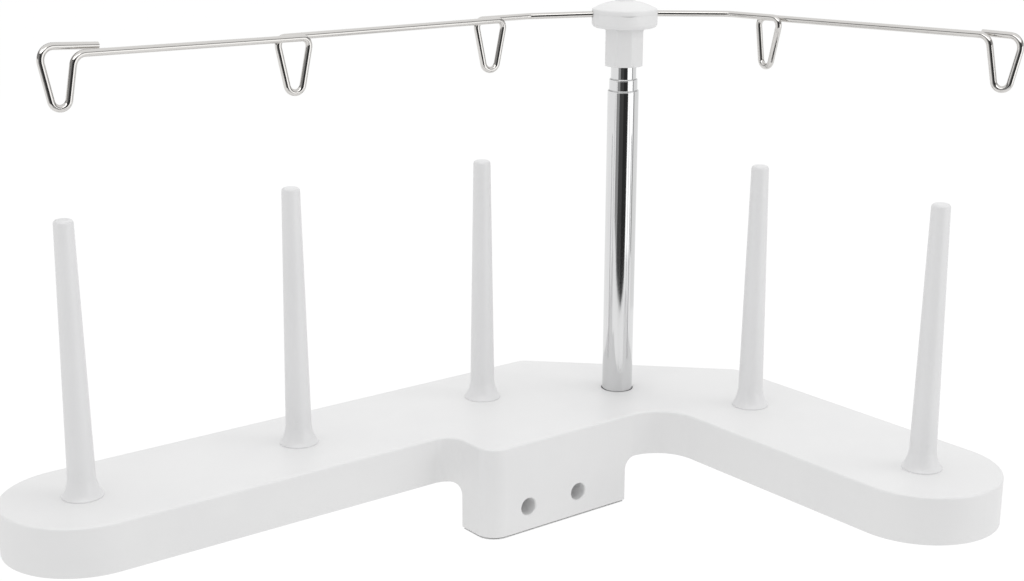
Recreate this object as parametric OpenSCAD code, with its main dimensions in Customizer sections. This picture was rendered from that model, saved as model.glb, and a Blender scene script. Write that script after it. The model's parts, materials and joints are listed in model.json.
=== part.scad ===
// Thread rack with five spool pins on an L-shaped base, a telescopic mast and a bent wire guide.
// Millimetres, +Z up. The origin is midway between the two fixing holes, on the boss face that
// seats against the machine. +X runs along the long arm towards the corner of the L, and the
// boss faces -Y.

/* [Base plate] */
// Width of both arms of the L
arm_w = 59; // [52:0.5:66]
// Height of the plate's side wall
plate_t = 18.3; // [17:0.1:24]
// Distance from one spool pin to the next along an arm
pin_pitch = 88.6; // [80:0.2:100]
// Distance from the third pin to the centre line of the short arm, along X
corner_x = 82.2; // [78:0.2:92]
// Distance from the centre line of the long arm to the fourth pin, along Y
corner_y = 75.1; // [72:0.2:90]
// Leg of the 45 degree cut across the outer corner
corner_cut = 68; // [50:1:72]
// Rounding of the two edges of that cut
cut_r = 6; // [4:0.5:10]
// Thickness of the side walls
wall = 2.5; // [1.8:0.1:3.2]
// Thickness of the top of the plate
top_t = 2.6; // [2:0.1:3.4]
// Depth of the stiffening ribs under the top
rib_h = 9; // [5:0.5:11]
// Thickness of the ribs
rib_t = 1.6; // [1:0.1:2.4]

/* [Fixing boss] */
// Distance from the third pin to the left side of the boss
boss_left = 37.2; // [34:0.2:42]
// Distance from the third pin to the right side of the boss
boss_right = 32; // [28:0.5:36]
// Distance from the pin line of the long arm to the boss face
boss_face = 54.6; // [52:0.2:60]
// Thickness of the boss from its face to its back
boss_depth = 18; // [15:0.5:20]
// Height of the boss below the plate
boss_drop = 18.2; // [17:0.1:24]
// Rounding of the boss's and the plate's upright corners beside it
boss_r = 8; // [6:0.5:9]
// Rounding where the plate's front runs into the short arm
inner_r = 17; // [5:0.5:18]
// Fillet between the boss and the underside of the plate
boss_fillet = 5; // [3:0.5:6]
// Wall of the boss
boss_wall = 3; // [2.4:0.1:3.6]
// Thickness of the foot below the boss walls
foot_t = 0.75; // [0.6:0.05:1.2]
// Thickness of the rim at the lower end of that foot
foot_rim_t = 0.3; // [0.2:0.05:0.4]
// Inset of that rim from the boss walls
foot_rim_in = 0.3; // [0.1:0.1:0.6]
// Inset of the groove above that rim
foot_neck_in = 1.6; // [0.8:0.1:2]
// Distance between the two fixing holes
hole_pitch = 25.3; // [22:0.1:26]
// Diameter of the fixing holes
hole_d = 7; // [5:0.1:8]
// Depth of the hole centres below the top of the plate
hole_drop = 26.8; // [25.5:0.1:28]
// Distance from the third pin to the middle of the two holes, towards the left
hole_shift = 5.4; // [4:0.1:7]

/* [Underside] */
// Thickness of the covers under the plate and the boss
cover_t = 2.4; // [2:0.1:3]
// Gap around the covers
cover_gap = 0.25; // [0.15:0.05:0.5]
// Diameter of the posts that take the cover screws
post_d = 6.6; // [6:0.1:8]
// Shank diameter of the cover and pin screws
screw_d = 3; // [2.4:0.1:3.2]
// Head diameter of the cover and pin screws
screw_head_d = 5.8; // [5:0.1:6.4]
// Head height of the cover and pin screws
screw_head_h = 1.3; // [1:0.1:1.4]
// Shank length of the cover screws
screw_len = 8; // [6:0.5:10]
// Gap around a screw's shank in its hole
screw_gap = 0.05; // [0.03:0.01:0.1]

/* [Spool pins] */
// Height of a spool pin above the plate
pin_h = 100.6; // [80:0.2:120]
// Diameter of a pin at its tip
pin_tip_d = 6.9; // [6:0.1:8]
// Diameter of a pin just above its flared foot
pin_root_d = 10; // [9:0.1:11]
// Diameter of the flared foot
pin_foot_d = 14.8; // [12:0.2:17]
// Height of the flare
pin_foot_h = 7; // [4:0.5:9]
// Rounding of the tip's edge
pin_tip_r = 0.9; // [0.5:0.1:1.5]
// Diameter of the spigot that seats in the plate
spigot_d = 8; // [7:0.1:9]
// Depth of the spigot
spigot_h = 9; // [7:0.5:9]
// Gap around the spigot
spigot_gap = 0.1; // [0.05:0.01:0.2]
// Outer diameter of the socket under the plate that holds a pin
pin_socket_d = 14; // [13:0.5:17]
// Thickness of the web that a pin's screw pulls against
pin_web = 2; // [1.6:0.1:3]

/* [Mast] */
// Place of the mast from the third pin along X
mast_x = 53.2; // [50:0.2:56]
// Place of the mast from the third pin along Y, towards the boss side
mast_y = 24.8; // [22:0.2:28]
// Outer diameter of the fixed tube
mast_d = 12.7; // [12:0.1:14]
// Height of the fixed tube above the plate
mast_h = 127.5; // [110:0.5:150]
// Wall of the three tubes
tube_wall = 0.4; // [0.3:0.05:0.5]
// Radial gap between one tube and the next
tube_gap = 0.2; // [0.18:0.01:0.25]
// Radial running clearance of the lips and bushes
run_gap = 0.05; // [0.03:0.01:0.07]
// Height of the rolled lip at the top of a tube
lip_h = 1.4; // [1:0.1:2]
// Length of the middle tube that shows when the mast is down
middle_show = 4.6; // [2:0.1:10]
// Length of the inner tube that shows when the mast is down
inner_show = 5.1; // [2:0.1:10]
// Travel of each sliding tube
travel = 90; // [60:1:95]
// Depth of the fixed tube in its socket, from the top of the plate
socket_depth = 12.3; // [9:0.1:12.4]
// Outer diameter of the mast socket
socket_d = 19; // [17:0.5:22]
// Radial gap of the fixed tube in its socket
socket_gap = 0.05; // [0.03:0.01:0.1]
// Width of the relief around the tube at the top of the plate
relief_w = 0.4; // [0.2:0.05:0.8]
// Thickness of the floor under the mast
socket_floor = 2; // [1.6:0.1:2.6]
// Length of the plug in the foot of the fixed tube
plug_len = 9; // [7:0.5:9]
// Shank diameter of the foot screw
foot_screw_d = 4; // [3:0.1:5]
// Height of the running flange of a glide bush
bush_flange = 3; // [2:0.5:5]
// Length of a glide bush inside its tube
bush_len = 6; // [4:0.5:8]
// Wall of a glide bush inside its tube
bush_wall = 1; // [0.8:0.1:1.4]

/* [Guide head] */
// Diameter of the collar
collar_d = 16; // [15:0.1:18]
// Height of the collar
collar_h = 15.5; // [14.5:0.5:20]
// Depth of the inner tube in the collar
collar_grip = 11.8; // [8:0.1:11.8]
// Number of flat panels around the collar
panel_count = 8; // [4:1:8]
// Depth of the flat panels at their middle
panel_depth = 0.5; // [0.4:0.05:0.8]
// Height of the round band above the flat panels
panel_top = 0.8; // [0.4:0.1:2.4]
// Turn of the first flat panel about the mast
panel_turn = -100.4; // [-120:0.2:-60]
// Diameter of the disc
disc_d = 26.4; // [25:0.2:30]
// Height of the disc's side
disc_h = 7.8; // [7.4:0.1:10]
// Rounding of the disc's lower edge
disc_low_r = 1.8; // [1:0.1:2.4]
// Rounding of the disc's upper edge
disc_top_r = 1; // [0.6:0.1:1.5]
// Rise of the domed top above the disc's side
dome_h = 3.1; // [2.4:0.1:4]
// Diameter of the raised button in the middle of the dome
button_d = 7.4; // [6:0.2:14]
// Rise of that button above the dome
button_h = 1.2; // [0.6:0.1:2]
// Gap between the two halves of the head
seam_gap = 0.06; // [0.06:0.02:0.2]
// Diameter of the pegs that hold the cap
peg_d = 3; // [2.4:0.1:3.4]
// Length of the pegs
peg_len = 3.6; // [3:0.1:4]
// Width of the pry notch below the seam
notch_w = 6.8; // [5:0.2:9]
// Height of the pry notch
notch_h = 0.5; // [0.3:0.1:1]
// Turn of the pry notch about the mast
notch_turn = -4.7; // [-30:0.1:30]
// Shank diameter of the swivel screw
swivel_d = 3; // [2.4:0.1:3.4]
// Head diameter of the swivel screw
swivel_head_d = 6.4; // [5.6:0.1:7]
// Head height of the swivel screw
swivel_head_h = 2; // [1.6:0.1:2.2]

/* [Wire guide] */
// Diameter of the wire
wire_d = 2.5; // [2:0.1:2.8]
// Gap around the wire in the head
wire_gap = 0.15; // [0.1:0.01:0.2]
// Height of the wire above the collar's lower end
wire_rise = 21.1; // [20.8:0.1:21.2]
// Turn of the guide head about the mast, as it stands in the rack
guide_yaw = -29.6; // [-45:0.1:-20]
// Bend of the wire inside the head
kink = 0; // [0:0.2:34]
// Drop of the wire from the mast to each of its two bends
wire_droop = 0.8; // [0.2:0.1:1.2]
// Distance from the mast to the left bend
left_half = 39; // [33:0.1:44]
// Distance from the mast to the right bend
right_half = 42.8; // [36:0.1:48]
// Turn of the left bend
left_bend = 33.9; // [20:0.1:45]
// Turn of the right bend
right_bend = 49.1; // [35:0.1:60]
// Distance from the left bend to the nearest loop
left_first = 21.1; // [18:0.2:26]
// Distance from that loop to the middle loop on the left
left_step = 92.1; // [80:0.1:100]
// Distance from the middle loop to the end loop on the left
left_end_step = 90.2; // [80:0.1:100]
// Distance from the right bend to the nearest loop
right_first = 19.4; // [18:0.1:26]
// Shift of that loop's bottom along the arm, negative towards the mast
right_lean = -1.3; // [-2:0.1:0]
// Distance between the two loops on the right
right_step = 99.1; // [85:0.1:105]
// Depth of a loop between the bends
loop_drop = 19; // [16:0.1:24]
// Depth of the left end loop
left_drop = 17.6; // [15:0.1:22]
// Depth of the right end loop
right_drop = 18.8; // [15:0.1:22]
// Half of the angle between a loop's legs
leg_angle = 11; // [9:0.1:14]
// Bend radius at the bottom of a loop
bottom_r = 3; // [2.5:0.1:4]
// Bend radius at a loop's upper corners
corner_r = 3; // [2:0.1:3.4]
// Length of wire that lies behind the bar at the left end
left_tail = 15.5; // [12:0.5:22]
// Length of wire that lies behind the bar at the right end
right_tail = 10; // [10:0.5:20]

/* [Hidden] */
$fn = 72;

white = [0.93, 0.93, 0.93];
chrome = [0.78, 0.79, 0.81];
steel = [0.62, 0.63, 0.65];
nylon = [0.86, 0.84, 0.78];

// A hair by which a cutting shape passes the face that it opens
eps = 0.5;

// Plan of the pins, from the third pin
pins = [
  [-2 * pin_pitch, 0], [-pin_pitch, 0], [0, 0],
  [corner_x, -corner_y], [corner_x, -corner_y - pin_pitch]
];
mast = [mast_x, -mast_y];
half_w = arm_w / 2;

// Corners of the plate, anticlockwise, each with its rounding
plate_corners = [
  [[-2 * pin_pitch - half_w, -half_w], half_w],
  [[-boss_left, -half_w], boss_r],
  [[-boss_left, -boss_face], boss_r],
  [[corner_x - half_w, -boss_face], inner_r],
  [[corner_x - half_w, -corner_y - pin_pitch - half_w], half_w],
  [[corner_x + half_w, -corner_y - pin_pitch - half_w], half_w],
  [[corner_x + half_w, half_w - corner_cut], cut_r],
  [[corner_x + half_w - corner_cut, half_w], cut_r],
  [[-2 * pin_pitch - half_w, half_w], half_w]
];
// Corners of the boss; the last three are nearly sharp
sharp_r = 0.8;
boss_back = -boss_face + boss_depth;
boss_corners = [
  [[-boss_left, -boss_face], boss_r],
  [[boss_right, -boss_face], sharp_r],
  [[boss_right, boss_back], sharp_r],
  [[-boss_left, boss_back], sharp_r]
];
boss_bottom = -plate_t - boss_drop;
under = -plate_t;
cover_top = under + cover_t;

// The apron is the part of the underside around the boss that is moulded with the shell
apron = boss_fillet + 0.5;

// Places of the cover screws
post_y = arm_w / 3;
end_post = half_w - wall - post_d / 2 - 2;
base_posts = [
  [-2 * pin_pitch - end_post, 0],
  [-1.5 * pin_pitch, post_y], [-1.5 * pin_pitch, -post_y],
  [-0.5 * pin_pitch, post_y], [-0.5 * pin_pitch, -post_y],
  [corner_x + half_w - corner_cut, post_y * 0.9],
  [corner_x + post_y * 0.9, half_w - corner_cut],
  [corner_x + post_y, -corner_y - pin_pitch / 2], [corner_x - post_y, -corner_y - pin_pitch / 2],
  [corner_x, -corner_y - pin_pitch - end_post]
];
boss_post_pitch = 24;
boss_posts = [for (k = [-1, 0, 1]) [-hole_shift + k * boss_post_pitch, (boss_back - boss_face) / 2]];
head_recess = screw_head_h + 0.1;

// Tube diameters, from the outside in
outer_bore = mast_d - 2 * tube_wall;
middle_d = outer_bore - 2 * tube_gap;
middle_bore = middle_d - 2 * tube_wall;
inner_d = middle_bore - 2 * tube_gap;
inner_bore = inner_d - 2 * tube_wall;

// Heights of the mast, from the top of the plate
seat_gap = 0.3;
outer_foot = -socket_depth;
plug_top = outer_foot + plug_len;
middle_foot = plug_top + seat_gap + bush_flange;
middle_top = mast_h + middle_show;
inner_foot = middle_foot + bush_len + seat_gap + bush_flange;
collar_foot = middle_top + inner_show;
inner_top = collar_foot + collar_grip;
floor_low = inner_top + seat_gap;
disc_foot = collar_foot + collar_h;
wire_z = collar_foot + wire_rise;
bar_z = wire_z - wire_droop;
disc_rim = disc_foot + disc_h;
// The web between the collar's bore and the pocket for the swivel screw's head
floor_t = 2.6;
floor_top = floor_low + floor_t;
pocket_d = swivel_head_d + 2.4;
washer_t = 0.5;
stack_gap = 0.05;
foot_washer_t = 0.8;
foot_head_h = 2.2;
foot_head_d = 7.6;
access_d = foot_head_d + 3;
peg_r = disc_d / 2 - 4.2;

// Loops of the wire: where its strands lie beside the arm, back from it and up from the bar
strand_gap = 0.3;
strand = wire_d + strand_gap;
end_corner_r = 4.5;
left_rise = 1.2;
left_tail_back = 0.79 * strand;
left_tail_up = 0.63 * strand;
left_corner_up = left_tail_up + 1.3;
right_tail_back = strand;
right_tail_up = 0.45;
right_corner_up = 0.15;
turn_r = 4.5;
kink_r = 4;
wire_sides = 12;
arc_step = 18;

function unit(v) = v / norm(v);
function turn_of(u, v) = 180 - acos(max(-1, min(1, u * v)));

// Points of a rounded corner at b, between a and c, in the plane or in space
function corner_arc(a, b, c, r, step) =
  let (
    u = unit(a - b), v = unit(c - b), turn = turn_of(u, v),
    centre = b + unit(u + v) * r / cos(turn / 2),
    e = (b + u * r * tan(turn / 2) - centre) / r,
    n = max(2, ceil(turn / step))
  )
  [for (i = [0:n]) centre + r * (cos(turn * i / n) * e - sin(turn * i / n) * u)];

// A corner of an anticlockwise outline, moved inwards; the rounding shrinks or grows to suit
function side_of(a, b, c) = sign((b - a).x * (c - b).y - (b - a).y * (c - b).x);
function inset_point(a, b, c, by) =
  let (u = unit(a - b), v = unit(c - b))
  b + side_of(a, b, c) * unit(u + v) * by / cos(turn_of(u, v) / 2);
function inset_corners(list, by) =
  let (n = len(list))
  [for (i = [0:n - 1])
    let (a = list[(i + n - 1) % n][0], b = list[i][0], c = list[(i + 1) % n][0])
    [inset_point(a, b, c, by), max(0.02, list[i][1] - side_of(a, b, c) * by)]];

// Outline of rounded corners, without doubled points
function outline(list, step = 6) =
  let (
    n = len(list),
    raw = [for (i = [0:n - 1])
      each corner_arc(list[(i + n - 1) % n][0], list[i][0], list[(i + 1) % n][0], list[i][1], step)]
  )
  [for (i = [0:len(raw) - 1]) if (norm(raw[i] - raw[(i + 1) % len(raw)]) > 0.001) raw[i]];

// Shapes are drawn from the third pin's foot on top of the plate
module on_plate() {
  translate([hole_shift, boss_face, hole_drop]) children();
}

// Shapes of the mast stand on its axis
module on_mast() {
  on_plate() translate([mast.x, mast.y, 0]) children();
}

// Shapes of the guide head also turn with it
module on_head() {
  on_mast() rotate([0, 0, guide_yaw]) children();
}

module slab(corners, low, high, by = 0) {
  translate([0, 0, low]) linear_extrude(high - low) polygon(outline(inset_corners(corners, by)));
}

module rod(d, low, high) {
  translate([0, 0, low]) cylinder(d = d, h = high - low);
}

module tube(d, bore, low, high) {
  difference() {
    rod(d, low, high);
    rod(bore, low - eps, high + eps);
  }
}

// Rod along Y through the boss
module cross_rod(d, y0, y1) {
  translate([0, y0, 0]) rotate([-90, 0, 0]) cylinder(d = d, h = y1 - y0);
}

module at_fixing_holes() {
  for (k = [-1, 1]) translate([-hole_shift + k * hole_pitch / 2, 0, -hole_drop]) children();
}

module boss_fillets() {
  profile_size = boss_fillet;
  // Along the right side and along the back, with a turned piece at the corner between them
  translate([boss_right, -boss_face, under]) rotate([-90, 0, 0]) linear_extrude(boss_depth - sharp_r)
    fillet_profile(profile_size);
  translate([boss_right - sharp_r, boss_back, under]) rotate([0, -90, 0]) rotate([0, 0, 90])
    linear_extrude(boss_left + boss_right - 2 * sharp_r) mirror([0, 1]) fillet_profile(profile_size);
  translate([boss_right - sharp_r, boss_back - sharp_r, under]) rotate_extrude(angle = 90)
    translate([sharp_r, 0]) mirror([0, 1]) fillet_profile(profile_size, sharp_r / 2);
}

// Corner at the origin, filled towards +X and +Y; its thin edges end just inside the two walls
module fillet_profile(r, deep = 1) {
  bury = 0.03;
  difference() {
    translate([-deep, -deep]) square(r + deep - bury);
    translate([r - bury, r - bury]) circle(r);
  }
}

module apron_rect(by, low, high) {
  translate([-boss_left - by, -boss_face - by, low])
    cube([boss_left + boss_right + apron + 2 * by, boss_depth + apron + 2 * by, high - low]);
}

module base_hollow() {
  slab(plate_corners, under - eps, -top_t, wall);
}

module boss_hollow() {
  slab(boss_corners, boss_bottom - eps, -top_t, boss_wall);
}

module base_ribs() {
  low = -top_t - rib_h;
  rib_top = -top_t + eps;
  x0 = -2 * pin_pitch - half_w + wall / 2;
  y0 = -corner_y - pin_pitch - half_w + wall / 2;
  translate([x0, -rib_t / 2, low]) cube([corner_x + half_w - corner_cut / 2 - x0, rib_t, rib_top - low]);
  translate([corner_x - rib_t / 2, y0, low]) cube([rib_t, half_w - corner_cut / 2 - y0, rib_top - low]);
  // Cross ribs through the screw posts halfway between pins
  for (k = [0.5, 1.5]) translate([-k * pin_pitch - rib_t / 2, -half_w + wall / 2, low])
    cube([rib_t, arm_w - wall, rib_top - low]);
  translate([corner_x - half_w + wall / 2, -corner_y - pin_pitch / 2 - rib_t / 2, low])
    cube([arm_w - wall, rib_t, rib_top - low]);
  // Struts from the mast socket to the wall
  translate([mast.x - rib_t / 2, -boss_face + wall / 2, low])
    cube([rib_t, boss_face + half_w - corner_cut / 4 - wall, rib_top - low]);
}

module base_posts_at() {
  for (p = base_posts) translate([p.x, p.y, 0]) children();
}

module boss_posts_at() {
  for (p = boss_posts) translate([p.x, p.y, 0]) children();
}

module base_shell() {
  color(white) on_plate() difference() {
    union() {
      difference() {
        slab(plate_corners, under, 0);
        base_hollow();
      }
      intersection() {
        union() {
          base_ribs();
          base_posts_at() rod(post_d, cover_top, -top_t + eps);
          for (p = pins) translate([p.x, p.y, 0]) rod(pin_socket_d, -spigot_h - pin_web - seat_gap, -top_t + eps);
          translate([mast.x, mast.y, 0]) rod(socket_d, outer_foot - socket_floor, -top_t + eps);
          apron_rect(0, under, cover_top);
          slab(boss_corners, under, -top_t + eps);
        }
        slab(plate_corners, under, -top_t + eps, wall / 2);
      }
      slab(boss_corners, boss_bottom, under + eps);
      boss_fillets();
    }
    difference() {
      boss_hollow();
      at_fixing_holes() cross_rod(hole_d + 2 * boss_wall, -boss_face, boss_back);
      boss_posts_at() rod(post_d, boss_bottom + cover_t - foot_t, 0);
    }
    at_fixing_holes() cross_rod(hole_d, -boss_face - eps, boss_back + eps);
    base_posts_at() rod(screw_d + 2 * screw_gap, cover_top - eps, cover_top + screw_len);
    boss_posts_at() rod(screw_d + 2 * screw_gap, boss_bottom, boss_bottom + screw_len);
    for (p = pins) translate([p.x, p.y, 0]) {
      rod(spigot_d + 2 * spigot_gap, -spigot_h - seat_gap, eps);
      rod(screw_d + 2 * screw_gap, -plate_t, 0);
      rod(screw_head_d + 1, under, -spigot_h - pin_web - seat_gap);
    }
    translate([mast.x, mast.y, 0]) {
      rod(mast_d + 2 * socket_gap, outer_foot, eps);
      rod(mast_d + 2 * relief_w, -top_t * 0.7, eps);
      rod(foot_screw_d + 2 * screw_gap, under, 0);
      rod(access_d, under, outer_foot - socket_floor);
    }
  }
}

// Cover under the arms, set inside the side walls
module base_cover() {
  color(white) on_plate() difference() {
    slab(plate_corners, under, cover_top, wall + cover_gap);
    apron_rect(cover_gap, under - eps, cover_top + eps);
    base_posts_at() {
      rod(screw_d + 2 * screw_gap, under - eps, cover_top + eps);
      rod(screw_head_d + 0.4, under - eps, under + head_recess);
    }
    translate([mast.x, mast.y, 0]) rod(access_d, under - eps, cover_top + eps);
  }
}

// Cover under the boss: a thin foot below the walls and a ledge between them
module boss_cover() {
  color(white) on_plate() difference() {
    union() {
      slab(boss_corners, boss_bottom - foot_t, boss_bottom - foot_t + foot_rim_t, foot_rim_in);
      slab(boss_corners, boss_bottom - foot_t + foot_rim_t / 2, boss_bottom, foot_neck_in);
      slab(boss_corners, boss_bottom - foot_t / 2, boss_bottom + cover_t - foot_t - seat_gap,
           boss_wall + cover_gap);
    }
    boss_posts_at() {
      rod(screw_d + 2 * screw_gap, boss_bottom - cover_t, boss_bottom + cover_t);
      rod(screw_head_d + 0.4, boss_bottom - foot_t - eps, boss_bottom - foot_t + head_recess);
    }
  }
}

// Pan-head screw that points up, with its head's seat at z = 0
module screw(d, length, head_d, head_h) {
  difference() {
    union() {
      rod(d, -head_h / 2, length);
      rod(head_d, -head_h, 0);
    }
    for (a = [0, 90]) rotate([0, 0, a]) translate([-head_d * 0.3, -head_d * 0.06, -head_h - eps])
      cube([head_d * 0.6, head_d * 0.12, head_h * 0.5 + eps]);
  }
}

module small_screw(length) {
  screw(screw_d, length, screw_head_d, screw_head_h);
}

module cover_screws() {
  color(steel) on_plate() {
    base_posts_at() translate([0, 0, under + head_recess]) small_screw(screw_len);
    boss_posts_at() translate([0, 0, boss_bottom - foot_t + head_recess]) small_screw(screw_len - cover_t);
  }
}

// Profile of a spool pin: spigot, slightly hollow flare, straight taper and rounded tip
pin_profile = concat(
  [[0, -spigot_h], [spigot_d / 2, -spigot_h], [spigot_d / 2, 0], [pin_foot_d / 2, 0], [pin_foot_d / 2, 0.4]],
  [for (a = [0:10:80])
    [pin_foot_d / 2 - (pin_foot_d - pin_root_d) / 4 * (sin(a) + a / 90),
     0.4 + (pin_foot_h - 0.4) / 2 * (1 - cos(a) + a / 90)]],
  [[pin_root_d / 2, pin_foot_h]],
  [for (a = [0:18:90])
    [pin_tip_d / 2 - pin_tip_r * (1 - cos(a)), pin_h - pin_tip_r * (1 - sin(a))]],
  [[0, pin_h]]
);

module spool_pin(k) {
  color(white) on_plate() translate([pins[k].x, pins[k].y, 0]) difference() {
    rotate_extrude() polygon(outline_free(pin_profile));
    rod(screw_d + 2 * screw_gap, -spigot_h - eps, -1);
  }
}

// Drops doubled points of an open profile
function outline_free(p) =
  [for (i = [0:len(p) - 1]) if (i == 0 || norm(p[i] - p[i - 1]) > 0.001) p[i]];

module pin_screws() {
  web_low = -spigot_h - pin_web - seat_gap;
  color(steel) on_plate() for (p = pins) translate([p.x, p.y, web_low])
    small_screw(-web_low - 1.5);
}

// Tube with its upper end rolled in to guide the next tube
module lipped_tube(d, next_d, low, high) {
  r = d / 2;
  bore = r - tube_wall;
  lip = next_d / 2 + run_gap;
  rotate_extrude() polygon([
    [bore, low], [r, low], [r, high - lip_h],
    for (a = [0:15:75]) [lip + tube_wall * 0.6 + (r - lip - tube_wall * 0.6) * cos(a), high - lip_h * (1 - sin(a))],
    [lip + tube_wall * 0.6, high], [lip, high], [lip, high - lip_h * 0.6], [bore, high - lip_h * 1.2]
  ]);
}

module outer_tube() {
  color(chrome) on_mast() lipped_tube(mast_d, middle_d, outer_foot, mast_h);
}

module mast_foot_plug() {
  color(nylon) on_mast() difference() {
    rod(outer_bore - 2 * run_gap, outer_foot, plug_top);
    rod(foot_screw_d + 2 * screw_gap, outer_foot - eps, plug_top - 1);
  }
}

module mast_foot_washer() {
  top = outer_foot - socket_floor - stack_gap;
  color(steel) on_mast() tube(access_d - 1.4, foot_screw_d + 4 * screw_gap, top - foot_washer_t, top);
}

module mast_foot_screw() {
  seat = outer_foot - socket_floor - foot_washer_t - 2 * stack_gap;
  color(steel) on_mast() translate([0, 0, seat])
    screw(foot_screw_d, plug_top - 1.5 - seat, foot_head_d, foot_head_h);
}

module middle_tube() {
  color(chrome) on_mast() lipped_tube(middle_d, inner_d, middle_foot, middle_top);
}

// Glide bush: a running flange below the tube's end and a sleeve inside it
module bush(bore, own_bore, foot) {
  difference() {
    union() {
      rod(bore - 2 * run_gap, foot - bush_flange, foot);
      rod(own_bore - 2 * run_gap, foot - bush_flange / 2, foot + bush_len);
    }
    rod(own_bore - 2 * run_gap - 2 * bush_wall, foot - bush_flange - eps, foot + bush_len + eps);
  }
}

module middle_bush() {
  color(nylon) on_mast() bush(outer_bore, middle_bore, middle_foot);
}

module inner_tube() {
  color(chrome) on_mast() tube(inner_d, inner_bore, inner_foot, inner_top);
}

module inner_bush() {
  color(nylon) on_mast() bush(middle_bore, inner_bore, inner_foot);
}

module top_plug() {
  color(nylon) on_mast() difference() {
    union() {
      rod(inner_bore - 2 * run_gap, inner_top - plug_len, inner_top);
      rod(inner_d - 0.6, inner_top, inner_top + seat_gap / 2);
    }
    rod(swivel_d + 2 * screw_gap, inner_top - plug_len + 1, inner_top + 1);
  }
}

module swivel_washer() {
  low = floor_top + stack_gap;
  color(steel) on_mast() tube(pocket_d - 1, swivel_d + 4 * screw_gap, low, low + washer_t);
}

module swivel_screw() {
  seat = floor_top + washer_t + 2 * stack_gap;
  color(steel) on_mast() translate([0, 0, seat]) mirror([0, 0, 1])
    screw(swivel_d, seat - inner_top + plug_len - 1.5, swivel_head_d, swivel_head_h);
}

// Room for the wire: two straight channels that meet on the mast's axis
module wire_channel() {
  for (side = [[180 + kink / 2, left_half], [-kink / 2, right_half]]) translate([0, 0, wire_z])
    rotate([0, 90 + asin(wire_droop / side[1]), side[0]])
      cylinder(d = wire_d + 2 * wire_gap, h = disc_d);
  translate([0, 0, wire_z]) sphere(d = wire_d + 2 * wire_gap);
}

module pegs(d, low, high) {
  for (a = [90, -90]) rotate([0, 0, a]) translate([peg_r, 0, 0]) rod(d, low, high);
}

// Lower half of the disc with its collar
module head_body() {
  color(white) on_head() difference() {
    union() {
      rotate_extrude() polygon([
        [0, collar_foot], [collar_d / 2 - 0.8, collar_foot],
        for (a = [-75:15:0]) [collar_d / 2 - 0.8 + 0.8 * cos(a), collar_foot + 0.8 + 0.8 * sin(a)],
        [collar_d / 2, disc_foot], [disc_d / 2 - disc_low_r, disc_foot],
        for (a = [-75:15:0]) [disc_d / 2 - disc_low_r + disc_low_r * cos(a), disc_foot + disc_low_r * (1 + sin(a))],
        [disc_d / 2, wire_z - seam_gap / 2], [0, wire_z - seam_gap / 2]
      ]);
    }
    rod(inner_d + 2 * run_gap, collar_foot - eps, floor_low);
    rod(swivel_d + 4 * screw_gap, floor_low - eps, floor_top + eps);
    rod(pocket_d, floor_top, wire_z + eps);
    wire_channel();
    pegs(peg_d + 2 * run_gap, wire_z - peg_len - seat_gap, wire_z + eps);
    for (k = [0:panel_count - 1]) rotate([0, 0, panel_turn + k * 360 / panel_count])
      translate([collar_d / 2 - panel_depth, -collar_d, collar_foot - eps])
        cube([collar_d, 2 * collar_d, collar_h - panel_top + eps]);
    notch_in = disc_d / 2 - sqrt(disc_d * disc_d - notch_w * notch_w) / 2;
    rotate([0, 0, notch_turn]) translate([-notch_w, -disc_d / 2 - 1, wire_z - seam_gap / 2 - notch_h])
      cube([2 * notch_w, 1 + notch_in, notch_h + eps]);
  }
}

// Domed upper half of the disc
module head_cap() {
  low = wire_z + seam_gap / 2;
  r = disc_d / 2;
  edge_r = r - disc_top_r;
  ball_r = (edge_r * edge_r + dome_h * dome_h) / (2 * dome_h);
  color(white) on_head() difference() {
    union() {
      rotate_extrude() polygon([
        [0, low], [r, low],
        for (a = [0:22.5:67.5]) [edge_r + disc_top_r * cos(a), disc_rim - disc_top_r * (1 - sin(a))],
        for (a = [1:-0.1:0]) [edge_r * a, disc_rim + dome_h - ball_r + sqrt(ball_r * ball_r - edge_r * edge_r * a * a)]
      ]);
      crest = disc_rim + dome_h - ball_r + sqrt(ball_r * ball_r - button_d * button_d / 4) + button_h;
      rotate_extrude() polygon([
        [0, wire_z + wire_d], [button_d / 2, wire_z + wire_d],
        for (a = [0:22.5:90]) [button_d / 2 - 0.5 + 0.5 * cos(a), crest - 0.5 + 0.5 * sin(a)],
        [0, crest]
      ]);
      pegs(peg_d, wire_z - peg_len, low + eps);
    }
    wire_channel();
  }
}

// A point beside an arm of the wire: s along it from its bend, back from it, up from the bar
function arm_point(bend, heading, s, back, up) =
  [bend.x + s * cos(heading) - back * sin(heading), bend.y + s * sin(heading) + back * cos(heading), bar_z + up];

// Depth of the sharp corner below a loop's rounded bottom, and half of the loop's width at the bar
function vee(drop) = drop + bottom_r * (1 / sin(leg_angle) - 1);
function half_top(drop) = vee(drop) * tan(leg_angle);

function mid_loop(bend, heading, s, front, back, lean = 0) =
  let (h = half_top(loop_drop), low = (front + back) / 2)
  [
    [arm_point(bend, heading, s + h, front.x, front.y), corner_r],
    [arm_point(bend, heading, s + lean, low.x, -vee(loop_drop)), bottom_r],
    [arm_point(bend, heading, s - h, back.x, back.y), corner_r]
  ];

left_heading = kink / 2 + left_bend;
right_heading = -kink / 2 - right_bend;
left_turn = [-left_half * cos(kink / 2), -left_half * sin(kink / 2)];
right_turn = [right_half * cos(kink / 2), -right_half * sin(kink / 2)];
left_end = -left_first - left_step - left_end_step;
right_end = right_first + right_step;
left_h = half_top(left_drop);
right_h = half_top(right_drop);

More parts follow.
